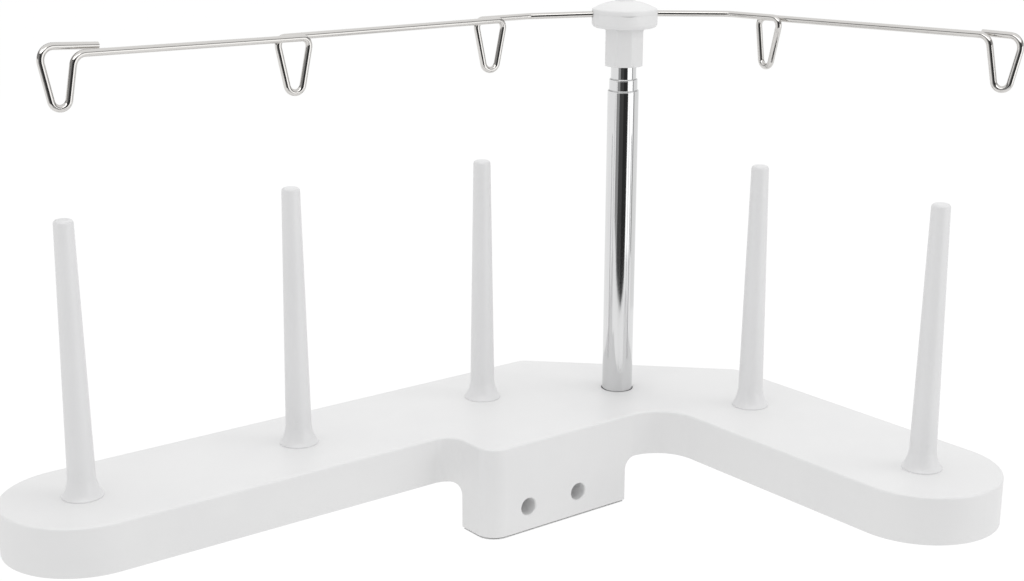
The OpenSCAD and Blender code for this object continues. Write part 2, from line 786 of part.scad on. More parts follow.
// Corners of the wire from its left end to its right end, each with its bend radius
wire_corners = concat(
  [
    [arm_point(left_turn, left_heading, left_end + left_tail, left_tail_back, left_rise + left_tail_up), 0],
    [arm_point(left_turn, left_heading, left_end - left_h, left_tail_back, left_rise + left_corner_up), end_corner_r],
    [arm_point(left_turn, left_heading, left_end, 0, left_rise - vee(left_drop)), bottom_r],
    [arm_point(left_turn, left_heading, left_end + left_h, 0, left_rise), end_corner_r]
  ],
  mid_loop(left_turn, left_heading, -left_first - left_step, [-1.8, -0.2], [1.4, 0.25]),
  mid_loop(left_turn, left_heading, -left_first, [-2.2, -0.2], [0.9, 0.25]),
  [
    [[left_turn.x, left_turn.y, bar_z], turn_r],
    [[0, 0, wire_z], kink_r],
    [[right_turn.x, right_turn.y, bar_z], turn_r]
  ],
  mid_loop(right_turn, right_heading, right_first, [-1.5, 0.15], [1.95, -0.45], right_lean),
  [
    [arm_point(right_turn, right_heading, right_end - right_h, 0, 0), end_corner_r],
    [arm_point(right_turn, right_heading, right_end, 0, -vee(right_drop)), bottom_r],
    [arm_point(right_turn, right_heading, right_end + right_h, right_tail_back, right_corner_up), end_corner_r],
    [arm_point(right_turn, right_heading, right_end - right_tail, right_tail_back, right_tail_up), 0]
  ]
);
wire_last = len(wire_corners) - 1;
wire_path = concat(
  [wire_corners[0][0]],
  [for (i = [1:wire_last - 1])
    each corner_arc(wire_corners[i - 1][0], wire_corners[i][0], wire_corners[i + 1][0], wire_corners[i][1], arc_step)],
  [wire_corners[wire_last][0]]
);

// Direction of a path at each point, and a normal carried along it without twist
function directions(p) =
  [for (i = [0:len(p) - 1]) unit(p[min(i + 1, len(p) - 1)] - p[max(i - 1, 0)])];
function normals(t) =
  [for (i = 0, n = unit(cross(t[0], [0, 0, 1])); i < len(t);
        i = i + 1, n = i < len(t) ? unit(n - (n * t[i]) * t[i]) : n) n];

// Round bar of n sides swept along a path
module sweep(p, r, n) {
  t = directions(p);
  u = normals(t);
  last = len(p) - 1;
  points = [for (i = [0:last]) each
    [for (k = [0:n - 1]) let (a = 360 * k / n) p[i] + r * (cos(a) * u[i] + sin(a) * cross(t[i], u[i]))]];
  faces = concat(
    [[for (k = [0:n - 1]) k]],
    [for (i = [0:last - 1], k = [0:n - 1]) each
      let (a = i * n + k, b = i * n + (k + 1) % n)
      [[a, a + n, b], [b, a + n, b + n]]],
    [[for (k = [n - 1:-1:0]) last * n + k]]
  );
  polyhedron(points, faces);
}

module thread_guide() {
  color(chrome) on_head() sweep(wire_path, wire_d / 2, wire_sides);
}

base_shell();
base_cover();
boss_cover();
cover_screws();
spool_pin(0);  // spool_pin_1
spool_pin(1);  // spool_pin_2
spool_pin(2);  // spool_pin_3
spool_pin(3);  // spool_pin_4
spool_pin(4);  // spool_pin_5
pin_screws();
outer_tube();
mast_foot_plug();
mast_foot_washer();
mast_foot_screw();
middle_tube();
middle_bush();
inner_tube();
inner_bush();
top_plug();
swivel_washer();
swivel_screw();
head_body();
head_cap();
thread_guide();
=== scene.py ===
"""Studio scene of a thread rack: L-shaped base with spool pins, telescopic mast and wire guide.

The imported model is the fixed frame. Pieces are drawn in plate millimetres, from the third pin's
foot on top of the plate, and moved into the shared frame in metres. Each of them replaces a node of
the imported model; the nodes that stay only take a finish.
"""

import json
import logging
from dataclasses import dataclass
from enum import Enum
from math import atan2, ceil, cos, degrees, pi, radians, sin, sqrt, tan
from typing import Iterable, Sequence

import bmesh
import bpy
from mathutils import Matrix, Vector

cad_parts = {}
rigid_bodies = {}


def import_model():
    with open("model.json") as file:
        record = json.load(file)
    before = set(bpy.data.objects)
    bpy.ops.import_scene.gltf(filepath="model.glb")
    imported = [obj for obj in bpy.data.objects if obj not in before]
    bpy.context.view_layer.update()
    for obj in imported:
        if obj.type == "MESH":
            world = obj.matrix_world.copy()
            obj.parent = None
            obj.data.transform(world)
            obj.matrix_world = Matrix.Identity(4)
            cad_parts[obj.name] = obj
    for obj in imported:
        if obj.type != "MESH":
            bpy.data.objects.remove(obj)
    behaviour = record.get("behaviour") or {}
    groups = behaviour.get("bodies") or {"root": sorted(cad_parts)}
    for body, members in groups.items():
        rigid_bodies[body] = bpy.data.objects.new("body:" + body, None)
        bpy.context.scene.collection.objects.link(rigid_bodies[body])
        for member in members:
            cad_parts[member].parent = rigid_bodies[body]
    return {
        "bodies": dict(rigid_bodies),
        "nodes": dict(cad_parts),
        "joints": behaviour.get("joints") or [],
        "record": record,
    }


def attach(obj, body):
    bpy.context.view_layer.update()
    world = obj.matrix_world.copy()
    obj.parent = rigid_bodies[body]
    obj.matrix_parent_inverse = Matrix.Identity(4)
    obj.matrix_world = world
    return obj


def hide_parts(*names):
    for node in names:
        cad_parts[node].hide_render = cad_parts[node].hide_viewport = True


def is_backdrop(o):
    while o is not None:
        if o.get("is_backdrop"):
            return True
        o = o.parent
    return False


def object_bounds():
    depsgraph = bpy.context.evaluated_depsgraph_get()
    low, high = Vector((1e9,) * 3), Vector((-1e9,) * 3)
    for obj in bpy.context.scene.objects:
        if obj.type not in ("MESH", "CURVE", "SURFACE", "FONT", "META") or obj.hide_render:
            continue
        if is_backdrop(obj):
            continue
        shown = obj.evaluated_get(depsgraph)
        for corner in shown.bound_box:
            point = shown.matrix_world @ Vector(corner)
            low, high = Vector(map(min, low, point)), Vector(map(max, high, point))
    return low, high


Piece, Mesh, RawMesh = bpy.types.Object, bpy.types.Mesh, bmesh.types.BMesh
Node, Material = bpy.types.Node, bpy.types.Material
Pair = tuple[float, float]
Triple = tuple[float, float, float]
Profile = list[Pair]
Ring = list[Vector]
Bend = tuple[Vector, float]

LOG = logging.getLogger("thread_rack")
PHOTO_WIDTH = 1024
SENSOR_WIDTH = 36.0
MM = 0.001

# The third pin's foot on top of the plate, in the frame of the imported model, in millimetres
PLATE_ORIGIN = Vector((5.4, 54.6, 26.8))
X, Y, Z = Vector((1, 0, 0)), Vector((0, 1, 0)), Vector((0, 0, 1))
QUARTER = [radians(10 * k) for k in range(10)]

# Points this close are one, in millimetres
WELD = 0.0005
# A radius under this lies on the axis; a length or area under the other one counts as none
ON_AXIS, TINY = 1e-6, 1e-9
# The least rounding of an outline's corner
LEAST_R = 0.02
# Distance of the extra points that keep a long side flat, and of the extra rings beside an edge
HOLD, BESIDE = 0.6, 0.3
# How far a cutting tool passes the surface that it cuts, and how far at a cover or a foot
PAST, JUST_PAST = 2.0, 1.0
# Edges that turn by more degrees are drawn sharp, on flat-sided pieces and on tubes and wire
FLAT_SHARP, ROUND_SHARP = 30.0, 50.0


class Body(Enum):
    """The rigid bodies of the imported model."""

    BASE = "base"
    MIDDLE = "middle_mast"
    INNER = "inner_mast"
    GUIDE = "guide"


class Slot(Enum):
    """The material slots of the record."""

    MOULDING = "white_moulding"
    PIN = "white_pin"
    TUBE = "chrome_tube"
    WIRE = "chrome_wire"
    SCREW = "plated_screw"
    NYLON = "nylon"


class Graph:
    """Adds and links the nodes of one tree."""

    def __init__(self, tree: bpy.types.NodeTree) -> None:
        """Keeps the tree that the nodes go into."""
        self.tree = tree

    def feed(self, target: bpy.types.NodeSocket, value: object) -> None:
        """Feeds an input.

        Args:
            target: The input.
            value: An output, a node for its first output, or a plain value.
        """
        if isinstance(value, Node):
            value = next(socket for socket in value.outputs if socket.enabled)
        if isinstance(value, bpy.types.NodeSocket):
            self.tree.links.new(value, target)
        else:
            target.default_value = value

    def add(self, kind: str, *inputs: object, **values: object) -> Node:
        """Adds a node.

        Args:
            kind: The node's type name.
            *inputs: What feeds its first inputs, in order.
            **values: Its properties, and what feeds its other inputs, with "_" for each space.

        Returns:
            The new node.
        """
        node = self.tree.nodes.new(kind)
        for key, value in values.items():
            if hasattr(node, key):
                setattr(node, key, value)
            else:
                self.feed(node.inputs[key.replace("_", " ")], value)
        for target, value in zip(node.inputs, inputs):
            self.feed(target, value)
        return node


class Coat(Graph):
    """The nodes of a finish: its shader, and patterns on Object coordinates."""

    def __init__(self, material: Material) -> None:
        """Finds the material's shader and adds the coordinates.

        Args:
            material: The material, with its nodes in use.
        """
        super().__init__(material.node_tree)
        self.shader = self.tree.nodes["Principled BSDF"]
        self.place = self.add("ShaderNodeTexCoord").outputs["Object"]

    def noise(self, scale: float, detail: float = 2.0, **more: object) -> Node:
        """A noise on the Object coordinates."""
        values = {"Vector": self.place, "Scale": scale, "Detail": detail, **more}
        return self.add("ShaderNodeTexNoise", **values)

    def tint(self, by: Node, dark: Iterable[float], light: Iterable[float]) -> None:
        """Mixes two colours into the shader's colour."""
        mix = self.add("ShaderNodeMix", data_type="RGBA", Factor=by, A=(*dark, 1), B=(*light, 1))
        self.feed(self.shader.inputs["Base Color"], mix)

    def gloss(self, by: Node, low: float, high: float) -> None:
        """Varies the shader's roughness between two values."""
        rough = self.add("ShaderNodeMapRange", Value=by, To_Min=low, To_Max=high)
        self.feed(self.shader.inputs["Roughness"], rough)

    def ripple(self, by: Node, strength: float, depth: float) -> None:
        """Gives the surface a fine relief, with its depth in metres."""
        bump = self.add("ShaderNodeBump", Height=by, Strength=strength, Distance=depth)
        self.feed(self.shader.inputs["Normal"], bump)


@dataclass(frozen=True)
class Finish:
    """A procedural finish and the record's slot that it stands for."""

    name: str
    slot: Slot

    def paint(self, coat: Coat) -> None:
        """Adds the finish's own nodes."""
        raise NotImplementedError

    def material(self) -> Material:
        """Builds the material at the first call, and finds it at later ones.

        Returns:
            The Blender material.
        """
        made = bpy.data.materials.get(self.name)
        if made is None:
            made = bpy.data.materials.new(self.name)
            made.use_nodes = True
            self.paint(Coat(made))
        return made


@dataclass(frozen=True)
class MouldedWhite(Finish):
    """White injection-moulded plastic with a fine spark-eroded grain."""

    colour: Triple = (0.80, 0.80, 0.80)
    deep_colour: Triple = (0.775, 0.775, 0.778)
    roughness: float = 0.42
    spread: float = 0.05
    cloud_scale: float = 22.0
    grain_scale: float = 1400.0
    grain: float = 0.05
    grain_depth: float = 0.00004
    ior: float = 1.5
    specular: float = 0.4

    def paint(self, coat: Coat) -> None:
        """Mixes two close whites, a varied roughness and the grain.

        Args:
            coat: The nodes of the finish.
        """
        cloud = coat.noise(self.cloud_scale, 3.0, Roughness=0.55)
        soft = coat.add("ShaderNodeMapRange", Value=cloud, From_Min=0.3, From_Max=0.6)
        coat.tint(soft, self.deep_colour, self.colour)
        coat.gloss(cloud, self.roughness - self.spread, self.roughness + self.spread)
        grain = coat.noise(self.grain_scale, Roughness=0.6)
        coat.ripple(grain, self.grain, self.grain_depth)
        coat.shader.inputs["IOR"].default_value = self.ior
        coat.shader.inputs["Specular IOR Level"].default_value = self.specular


@dataclass(frozen=True)
class Chrome(Finish):
    """Chrome plate over drawn metal: faint lines along the draw and slight ripples."""

    colour: Triple = (0.73, 0.732, 0.735)
    shade: float = 0.96
    roughness: float = 0.06
    smoother: float = 0.03
    rougher: float = 0.05
    cloud_scale: float = 60.0
    line_scale: float = 900.0
    stretch: float = 0.02
    bump: float = 0.05
    bump_depth: float = 0.00003

    def paint(self, coat: Coat) -> None:
        """Stretches a noise along the mast for the drawing lines and clouds the colour.

        Args:
            coat: The nodes of the finish.
        """
        drawn = coat.add("ShaderNodeMapping", Vector=coat.place, Scale=(1, 1, self.stretch))
        lines = coat.noise(self.line_scale, Vector=drawn)
        dark = (self.shade * c for c in self.colour)
        coat.tint(coat.noise(self.cloud_scale), dark, self.colour)
        coat.gloss(lines, self.roughness - self.smoother, self.roughness + self.rougher)
        coat.ripple(lines, self.bump, self.bump_depth)
        coat.shader.inputs["Metallic"].default_value = 1.0


@dataclass(frozen=True)
class Mottled(Finish):
    """Zinc plate or natural nylon: small clouds in the colour and in the gloss."""

    dark: Triple
    light: Triple
    scale: float
    detail: float
    gloss: Pair
    metallic: float = 0.0

    def paint(self, coat: Coat) -> None:
        """Mottles the colour and the roughness.

        Args:
            coat: The nodes of the finish.
        """
        mottle = coat.noise(self.scale, self.detail)
        coat.tint(mottle, self.dark, self.light)
        coat.gloss(mottle, *self.gloss)
        coat.shader.inputs["Metallic"].default_value = self.metallic


PLASTIC = MouldedWhite("white_moulded_plastic", Slot.MOULDING)
PIN_PLASTIC = MouldedWhite(
    "white_pin_plastic", Slot.PIN, (0.77, 0.77, 0.775), (0.75, 0.75, 0.755), roughness=0.38
)
TUBE_CHROME = Chrome("chrome_on_tube", Slot.TUBE)
WIRE_CHROME = Chrome(
    "chrome_on_wire", Slot.WIRE, (0.67, 0.655, 0.635),
    roughness=0.08, line_scale=700.0, stretch=1.0, bump=0.1,
)
SCREW_STEEL = Mottled(
    "zinc_plated_steel", Slot.SCREW, (0.42, 0.43, 0.44), (0.56, 0.57, 0.59),
    scale=800.0, detail=4.0, gloss=(0.24, 0.42), metallic=1.0,
)
PLUG_NYLON = Mottled(
    "natural_nylon", Slot.NYLON, (0.651, 0.6324, 0.558), (0.70, 0.68, 0.60),
    scale=180.0, detail=3.0, gloss=(0.4, 0.55),
)


class ShapeTree(Graph):
    """A geometry node tree with named inputs for its sizes and its finish."""

    def __init__(self, name: str, **sockets: str) -> None:
        """Starts the tree.

        Args:
            name: The tree's name.
            **sockets: The kinds of its own inputs by name, with "_" for each space.
        """
        super().__init__(bpy.data.node_groups.new(name, "GeometryNodeTree"))
        face = self.tree.interface
        kinds = {"Geometry": "Geometry", **sockets, "Finish": "Material"}
        for title, kind in kinds.items():
            title = title.replace("_", " ")
            face.new_socket(name=title, in_out="INPUT", socket_type=f"NodeSocket{kind}")
        face.new_socket(name="Geometry", in_out="OUTPUT", socket_type="NodeSocketGeometry")
        self.given = self.add("NodeGroupInput").outputs

    def end(self, shape: Node) -> None:
        """Ends the tree with real geometry that carries the finish.

        Args:
            shape: The node that gives the shape.
        """
        real = self.add("GeometryNodeRealizeInstances", shape)
        done = self.add("GeometryNodeSetMaterial", real, Material=self.given["Finish"])
        self.add("NodeGroupOutput", done)

    def run(self, host: Piece, finish: Finish, **values: object) -> Mesh:
        """Runs the tree on an object, which is then removed.

        Args:
            host: The object that the modifier goes on.
            finish: The finish.
            **values: Values of the tree's own inputs by name, with "_" for each space.

        Returns:
            The result as a plain mesh.
        """
        step = host.modifiers.new(self.tree.name, "NODES")
        step.node_group = self.tree
        values["Finish"] = finish.material()
        for item in self.tree.interface.items_tree:
            key = item.name.replace(" ", "_")
            if item.in_out == "INPUT" and key in values:
                step[item.identifier] = values[key]
        data = plain_mesh(host)
        bpy.data.objects.remove(host)
        return data


@dataclass(frozen=True)
class Corner:
    """A corner of an anticlockwise outline, with its rounding."""

    x: float
    y: float
    r: float

    @property
    def point(self) -> Vector:
        """The corner before it is rounded."""
        return Vector((self.x, self.y))


def in_metres(point: Vector) -> Vector:
    """Moves a point of the plate into the shared frame."""
    return (point + PLATE_ORIGIN) * MM


def circle(middle: Vector, radius: float, sides: int, u: Vector, v: Vector) -> Ring:
    """Points of a circle in the plane of two directions."""
    turns = (2 * pi * k / sides for k in range(sides))
    return [middle + radius * (cos(t) * u + sin(t) * v) for t in turns]


def rectangle(low: Pair, high: Pair) -> Ring:
    """Corners of a flat rectangle, anticlockwise."""
    (a, b), (c, d) = low, high
    return [Vector((a, b, 0)), Vector((c, b, 0)), Vector((c, d, 0)), Vector((a, d, 0))]


def neighbours(items: list) -> Iterable[tuple]:
    """Each item of a closed row with the one before it and the one after it."""
    return zip(items[-1:] + items[:-1], items, items[1:] + items[:1])


def arc_points(
    before: Vector, corner: Vector, after: Vector, radius: float, step: float = 3.0
) -> Ring:
    """Rounds a corner in the plane or in space.

    Args:
        before: The corner before it.
        corner: The corner itself.
        after: The corner after it.
        radius: The rounding radius.
        step: Degrees from one point to the next.

    Returns:
        The points of the arc, the same number for any radius.
    """
    u, v = (before - corner).normalized(), (after - corner).normalized()
    turn = pi - u.angle(v)
    centre = corner + (u + v).normalized() * (radius / cos(turn / 2))
    arm = (corner + u * (radius * tan(turn / 2)) - centre) / max(radius, TINY)
    count = max(2, ceil(degrees(turn) / step))
    turns = [turn * i / count for i in range(count + 1)]
    return [centre + radius * (cos(t) * arm - sin(t) * u) for t in turns]


def inset_outline(corners: list[Corner], by: float) -> Ring:
    """Moves an outline inwards and rounds it.

    Args:
        corners: The outline's corners, anticlockwise.
        by: How far inwards.

    Returns:
        The points of the closed outline, the same number for any inset.
    """
    moved: list[Bend] = []
    for before, here, after in neighbours(corners):
        a, b, c = before.point, here.point, after.point
        u, v = (a - b).normalized(), (c - b).normalized()
        turn = pi - u.angle(v)
        side = 1.0 if (b - a).cross(c - b) > 0 else -1.0
        place = b + side * (u + v).normalized() * (by / cos(turn / 2))
        moved.append((place, max(LEAST_R, here.r - side * by)))
    arcs = [arc_points(a, b, c, r) for (a, _), (b, r), (c, _) in neighbours(moved)]
    points: Ring = []
    for _, arc, following in neighbours(arcs):
        ahead = following[0] - arc[-1]
        way, keep = ahead.normalized(), min(HOLD, ahead.length / 3)
        points += [*arc, arc[-1] + way * keep, arc[-1] + way * (ahead.length - keep)]
    return points


def rounding(x: float, z: float, r: float, start: float, end: float, count: int) -> Profile:
    """Points of an arc in a profile, by its centre, radius and angles in degrees."""
    turns = [radians(start + (end - start) * i / count) for i in range(count + 1)]
    return [(x + r * cos(t), z + r * sin(t)) for t in turns]


def loft(rings: Sequence[Ring], closed: bool = False) -> RawMesh:
    """Joins rings of the same number of points, and caps the ends.

    Args:
        rings: The rings in order.
        closed: True joins the last ring to the first instead of capping.

    Returns:
        The mesh.
    """
    mesh = bmesh.new()
    made = [[mesh.verts.new(p) for p in ring] for ring in rings]
    count = len(made[0])
    for low, high in zip(made, made[1:] + made[:1] if closed else made[1:]):
        for i in range(count):
            j = (i + 1) % count
            mesh.faces.new((low[i], low[j], high[j], high[i]))
    if not closed:
        mesh.faces.new(made[0][::-1])
        mesh.faces.new(made[-1])
    return mesh


def turned(profile: Profile, sides: int, at: Pair = (0.0, 0.0)) -> RawMesh:
    """Turns a profile about an upright axis.

    Args:
        profile: Radius and height pairs that start and end on the axis, or else close on itself.
        sides: Number of faces round the axis.
        at: Place of the axis.

    Returns:
        The closed mesh.
    """
    rings = [circle(Vector((*at, z)), max(r, ON_AXIS), sides, X, Y) for r, z in profile]
    mesh = loft(rings, closed=profile[0][0] >= ON_AXIS or profile[-1][0] >= ON_AXIS)
    bmesh.ops.remove_doubles(mesh, verts=mesh.verts, dist=WELD)
    slim = [face for face in mesh.faces if face.calc_area() < TINY]
    bmesh.ops.delete(mesh, geom=slim, context="FACES_ONLY")
    return mesh


def shade(data: Mesh, angle: float) -> None:
    """Shades a mesh smooth, up to edges that turn by more than an angle in degrees."""
    data.shade_smooth()
    data.set_sharp_from_angle(angle=radians(angle))


def add_object(name: str, data: bpy.types.ID) -> Piece:
    """Adds an object of a mesh, curve, lamp or camera, at the origin.

    Args:
        name: The object's name.
        data: What it shows.

    Returns:
        The new object.
    """
    made = bpy.data.objects.new(name, data)
    bpy.context.scene.collection.objects.link(made)
    return made


def new_piece(
    name: str, mesh: RawMesh, angle: float = FLAT_SHARP, origin: Vector = PLATE_ORIGIN
) -> Piece:
    """Makes an object of a mesh in millimetres, with its place in its mesh.

    Args:
        name: The object's name.
        mesh: The mesh, which is used up.
        angle: Edges that turn by more than this many degrees stay sharp.
        origin: Where the mesh's own origin lies in the shared frame.

    Returns:
        The new object.
    """
    bmesh.ops.remove_doubles(mesh, verts=mesh.verts, dist=WELD)
    bmesh.ops.recalc_face_normals(mesh, faces=mesh.faces)
    move = Matrix.Scale(MM, 4) @ Matrix.Translation(origin)
    bmesh.ops.transform(mesh, matrix=move, verts=mesh.verts)
    data = bpy.data.meshes.new(name)
    mesh.to_mesh(data)
    mesh.free()
    shade(data, angle)
    return add_object(name, data)


def slab(name: str, corners: list[Corner], rungs: Profile) -> Piece:
    """An upright body of an outline, by pairs of inset and height from the bottom up."""
    rings = [[Vector((*p, z)) for p in inset_outline(corners, by)] for by, z in rungs]
    return new_piece(name, loft(rings))


def tool(rings: Sequence[Ring], origin: Vector = PLATE_ORIGIN) -> Piece:
    """A cutting tool of capped rings."""
    return new_piece("tool", loft(rings), origin=origin)


def prism(
    outline: Sequence[Vector], near: Vector, far: Vector, origin: Vector = PLATE_ORIGIN
) -> Piece:
    """A cutting tool of an outline, between two shifts of it."""
    return tool([[p + shift for p in outline] for shift in (near, far)], origin)


def rod(radius: float, low: Vector, high: Vector, sides: int = 48) -> Piece:
    """A cutting tool in the form of a round bar between two points."""
    turn = Z.rotation_difference((high - low).normalized()).to_matrix()
    return tool([circle(end, radius, sides, turn @ X, turn @ Y) for end in (low, high)])


def plain_mesh(piece: Piece) -> Mesh:
    """Applies an object's modifiers and removes them.

    Args:
        piece: The object.

    Returns:
        The result as a new mesh.
    """
    ready = piece.evaluated_get(bpy.context.evaluated_depsgraph_get())
    data = bpy.data.meshes.new_from_object(ready)
    piece.modifiers.clear()
    return data


def cut(piece: Piece, tools: Iterable[Piece]) -> Piece:
    """Cuts tools out of a piece, and removes them.

    Args:
        piece: The piece that is kept.
        tools: Closed meshes.

    Returns:
        The piece, as a plain mesh.
    """
    spent = list(tools)
    for each in spent:
        step = piece.modifiers.new("cut", "BOOLEAN")
        step.operation = "DIFFERENCE"
        step.solver = "EXACT"
        step.object = each
    piece.data = plain_mesh(piece)
    shade(piece.data, FLAT_SHARP)
    for each in spent:
        bpy.data.objects.remove(each)
    return piece


def dress(piece: Piece, finish: Finish, body: Body, node: str) -> None:
    """Gives a piece its finish and its body, and says which node it stands for.

    Args:
        piece: The finished piece.
        finish: Its finish.
        body: The body that it rides on.
        node: The node that it replaces.
    """
    piece.data.materials.clear()
    piece.data.materials.append(finish.material())
    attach(piece, body.value)
    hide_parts(node)
    faces = len(piece.data.polygons)
    LOG.info("%s: %d faces, rides on %s, stands for %s", piece.name, faces, body.value, node)


def dress_node(frame: dict, node: str, finish: Finish) -> None:
    """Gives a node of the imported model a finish.

    Args:
        node: The node's name.
        finish: The finish.
    """
    kept = frame["nodes"][node]
    for slot in kept.material_slots:
        slot.material = finish.material()
    if not kept.material_slots:
        kept.data.materials.append(finish.material())
    LOG.info("%s: keeps its solid, %s", node, finish.name)


@dataclass
class BasePlate:
    """The L-shaped plate with its fixing boss and covers."""

    arm_w: float = 59.0
    plate_t: float = 18.3
    pin_pitch: float = 88.6
    corner_x: float = 82.2
    corner_y: float = 75.1
    corner_cut: float = 68.0
    cut_r: float = 6.0
    wall: float = 2.5
    edge_r: float = 0.8
    low_edge_r: float = 0.3
    boss_left: float = 37.2
    boss_right: float = 32.0
    boss_face: float = 54.6
    boss_depth: float = 18.0
    boss_drop: float = 18.2
    boss_r: float = 8.0
    inner_r: float = 17.0
    boss_fillet: float = 5.0
    boss_wall: float = 3.0
    boss_corner_r: float = 0.8
    foot_t: float = 0.75
    foot_rim_t: float = 0.3
    foot_rim_in: float = 0.3
    foot_neck_in: float = 1.6
    foot_bevels: Pair = (0.1, 0.05)
    hole_pitch: float = 25.3
    hole_d: float = 7.0
    hole_drop: float = 26.8
    hole_shift: float = 5.4
    hole_bevel: float = 0.4
    hole_sides: int = 64
    cover_t: float = 2.4
    cover_gap: float = 0.25
    cover_bevel: float = 0.3
    cover_room: float = 0.1
    boss_cover_room: float = 0.3
    apron: float = 0.5
    mast: Pair = (53.2, -24.8)
    mast_hole_d: float = 13.5
    mast_hole_depth: float = 3.0
    mast_hole_sides: int = 96
    access_d: float = 10.6
    post_r: float = 3.3
    post_gap: float = 2.0
    boss_post_pitch: float = 24.0
    screw_hole_d: float = 6.2
    screw_recess: float = 1.4
    screw_hole_sides: int = 40

    @property
    def half_w(self) -> float:
        """Half of an arm's width."""
        return self.arm_w / 2

    @property
    def boss_back(self) -> float:
        """Place of the boss's back wall along Y."""
        return -self.boss_face + self.boss_depth

    @property
    def boss_bottom(self) -> float:
        """Height of the lower end of the boss's walls."""
        return -self.plate_t - self.boss_drop

    @property
    def foot(self) -> float:
        """Height of the underside of the boss's cover."""
        return self.boss_bottom - self.foot_t

    def pins(self) -> list[Pair]:
        """Places of the spool pins."""
        p, x, y = self.pin_pitch, self.corner_x, self.corner_y
        return [(-2 * p, 0.0), (-p, 0.0), (0.0, 0.0), (x, -y), (x, -y - p)]

    def corners(self) -> list[Corner]:
        """Works out the plate's outline, with both arms' ends nearly half round.

        Returns:
            Its corners, anticlockwise.
        """
        h = self.half_w
        left, right, end_r = -2 * self.pin_pitch - h, self.corner_x + h, h - 0.01
        low = -self.corner_y - self.pin_pitch - h
        return [
            Corner(left, -h, end_r),
            Corner(-self.boss_left, -h, self.boss_r),
            Corner(-self.boss_left, -self.boss_face, self.boss_r),
            Corner(self.corner_x - h, -self.boss_face, self.inner_r),
            Corner(self.corner_x - h, low, end_r),
            Corner(right, low, end_r),
            Corner(right, h - self.corner_cut, self.cut_r),
            Corner(right - self.corner_cut, h, self.cut_r),
            Corner(left, h, end_r),
        ]

    def boss_corners(self) -> list[Corner]:
        """Works out the boss's outline.

        Returns:
            Its corners, anticlockwise.
        """
        left, right, r = -self.boss_left, self.boss_right, self.boss_corner_r
        return [
            Corner(left, -self.boss_face, self.boss_r),
            Corner(right, -self.boss_face, r),
            Corner(right, self.boss_back, r),
            Corner(left, self.boss_back, r),
        ]

    def edge_rungs(self) -> Profile:
        """Rungs of the moulding, with a rounded upper edge and a finer lower one.

        Returns:
            Inset and height pairs, from the bottom up.
        """
        r, s, low = self.edge_r, self.low_edge_r, self.boss_bottom
        lower = [(s - x, low + s + z) for x, z in rounding(0, 0, s, -90, 0, 3)]
        upper = [(r - x, z - r) for x, z in rounding(0, 0, r, 0, 90, 6)]
        sides = [(0.0, low + s + BESIDE), (0.0, -r - BESIDE)]
        return [(s + BESIDE, low), *lower, *sides, *upper, (r + 0.1, 0.0)]

    def below_plate(self) -> Piece:
        """The space under the plate that isn't boss, with the fillets where the two meet.

        Returns:
            The cutting tool.
        """
        r, under, wide = self.boss_fillet, -self.plate_t, 400.0
        rungs = [(0.0, self.boss_bottom - 10.0), (0.0, under - r)]
        rungs += [(r - x, under - r + z) for x, z in rounding(0, 0, r, 0, 84, 10)[1:]]
        rings = []
        for out, z in [*rungs, (r, under)]:
            right, back = self.boss_right + out, self.boss_back + out
            bend = self.boss_corner_r + out
            turn = [(right - bend * (1 - cos(a)), back - bend * (1 - sin(a))) for a in QUARTER]
            ring = [
                (-wide, -wide), (-wide, back), *turn[::-1], (right, -wide),
                (wide, -wide), (wide, wide), (-2 * wide, wide), (-2 * wide, -wide),
            ]
            rings.append([Vector((*p, z)) for p in ring])
        return tool(rings)

    def apron_tool(self, gap: float, low: float, high: float) -> Piece:
        """The block round the boss that the plate's cover leaves out.

        Args:
            gap: How far it stands back from the moulding.
            low: Height of its bottom.
            high: Height of its top.

        Returns:
            The cutting tool.
        """
        reach, clear = self.boss_fillet + self.apron + gap, 5.0
        near = (-self.boss_left - clear, -self.boss_face - clear)
        far = (self.boss_right + reach, self.boss_back + reach)
        return prism(rectangle(near, far), low * Z, high * Z)

    def posts(self) -> list[Pair]:
        """Works out the places of the plate cover's screws.

        Returns:
            Their places, in a fixed order that sets each screw's turn.
        """
        y, p, x = self.arm_w / 3, self.pin_pitch, self.corner_x
        end = self.half_w - self.wall - self.post_r - self.post_gap
        cut_at, beside = self.half_w - self.corner_cut, 0.9 * y
        across = -self.corner_y - p / 2
        return [
            (-2 * p - end, 0.0),
            (-1.5 * p, y), (-1.5 * p, -y), (-0.5 * p, y), (-0.5 * p, -y),
            (x + cut_at, beside), (x + beside, cut_at),
            (x + y, across), (x - y, across), (x, -self.corner_y - p - end),
        ]

    def boss_posts(self) -> list[Pair]:
        """Places of the boss cover's screws."""
        y = (self.boss_back - self.boss_face) / 2
        return [(-self.hole_shift + k * self.boss_post_pitch, y) for k in (-1, 0, 1)]

    def screw_holes(self, places: list[Pair], low: float) -> list[Piece]:
        """Recesses for screw heads in a cover's underside, as cutting tools."""
        r, ends = self.screw_hole_d / 2, (low - JUST_PAST, low + self.screw_recess)
        return [rod(r, *(Vector((*p, z)) for z in ends), self.screw_hole_sides) for p in places]

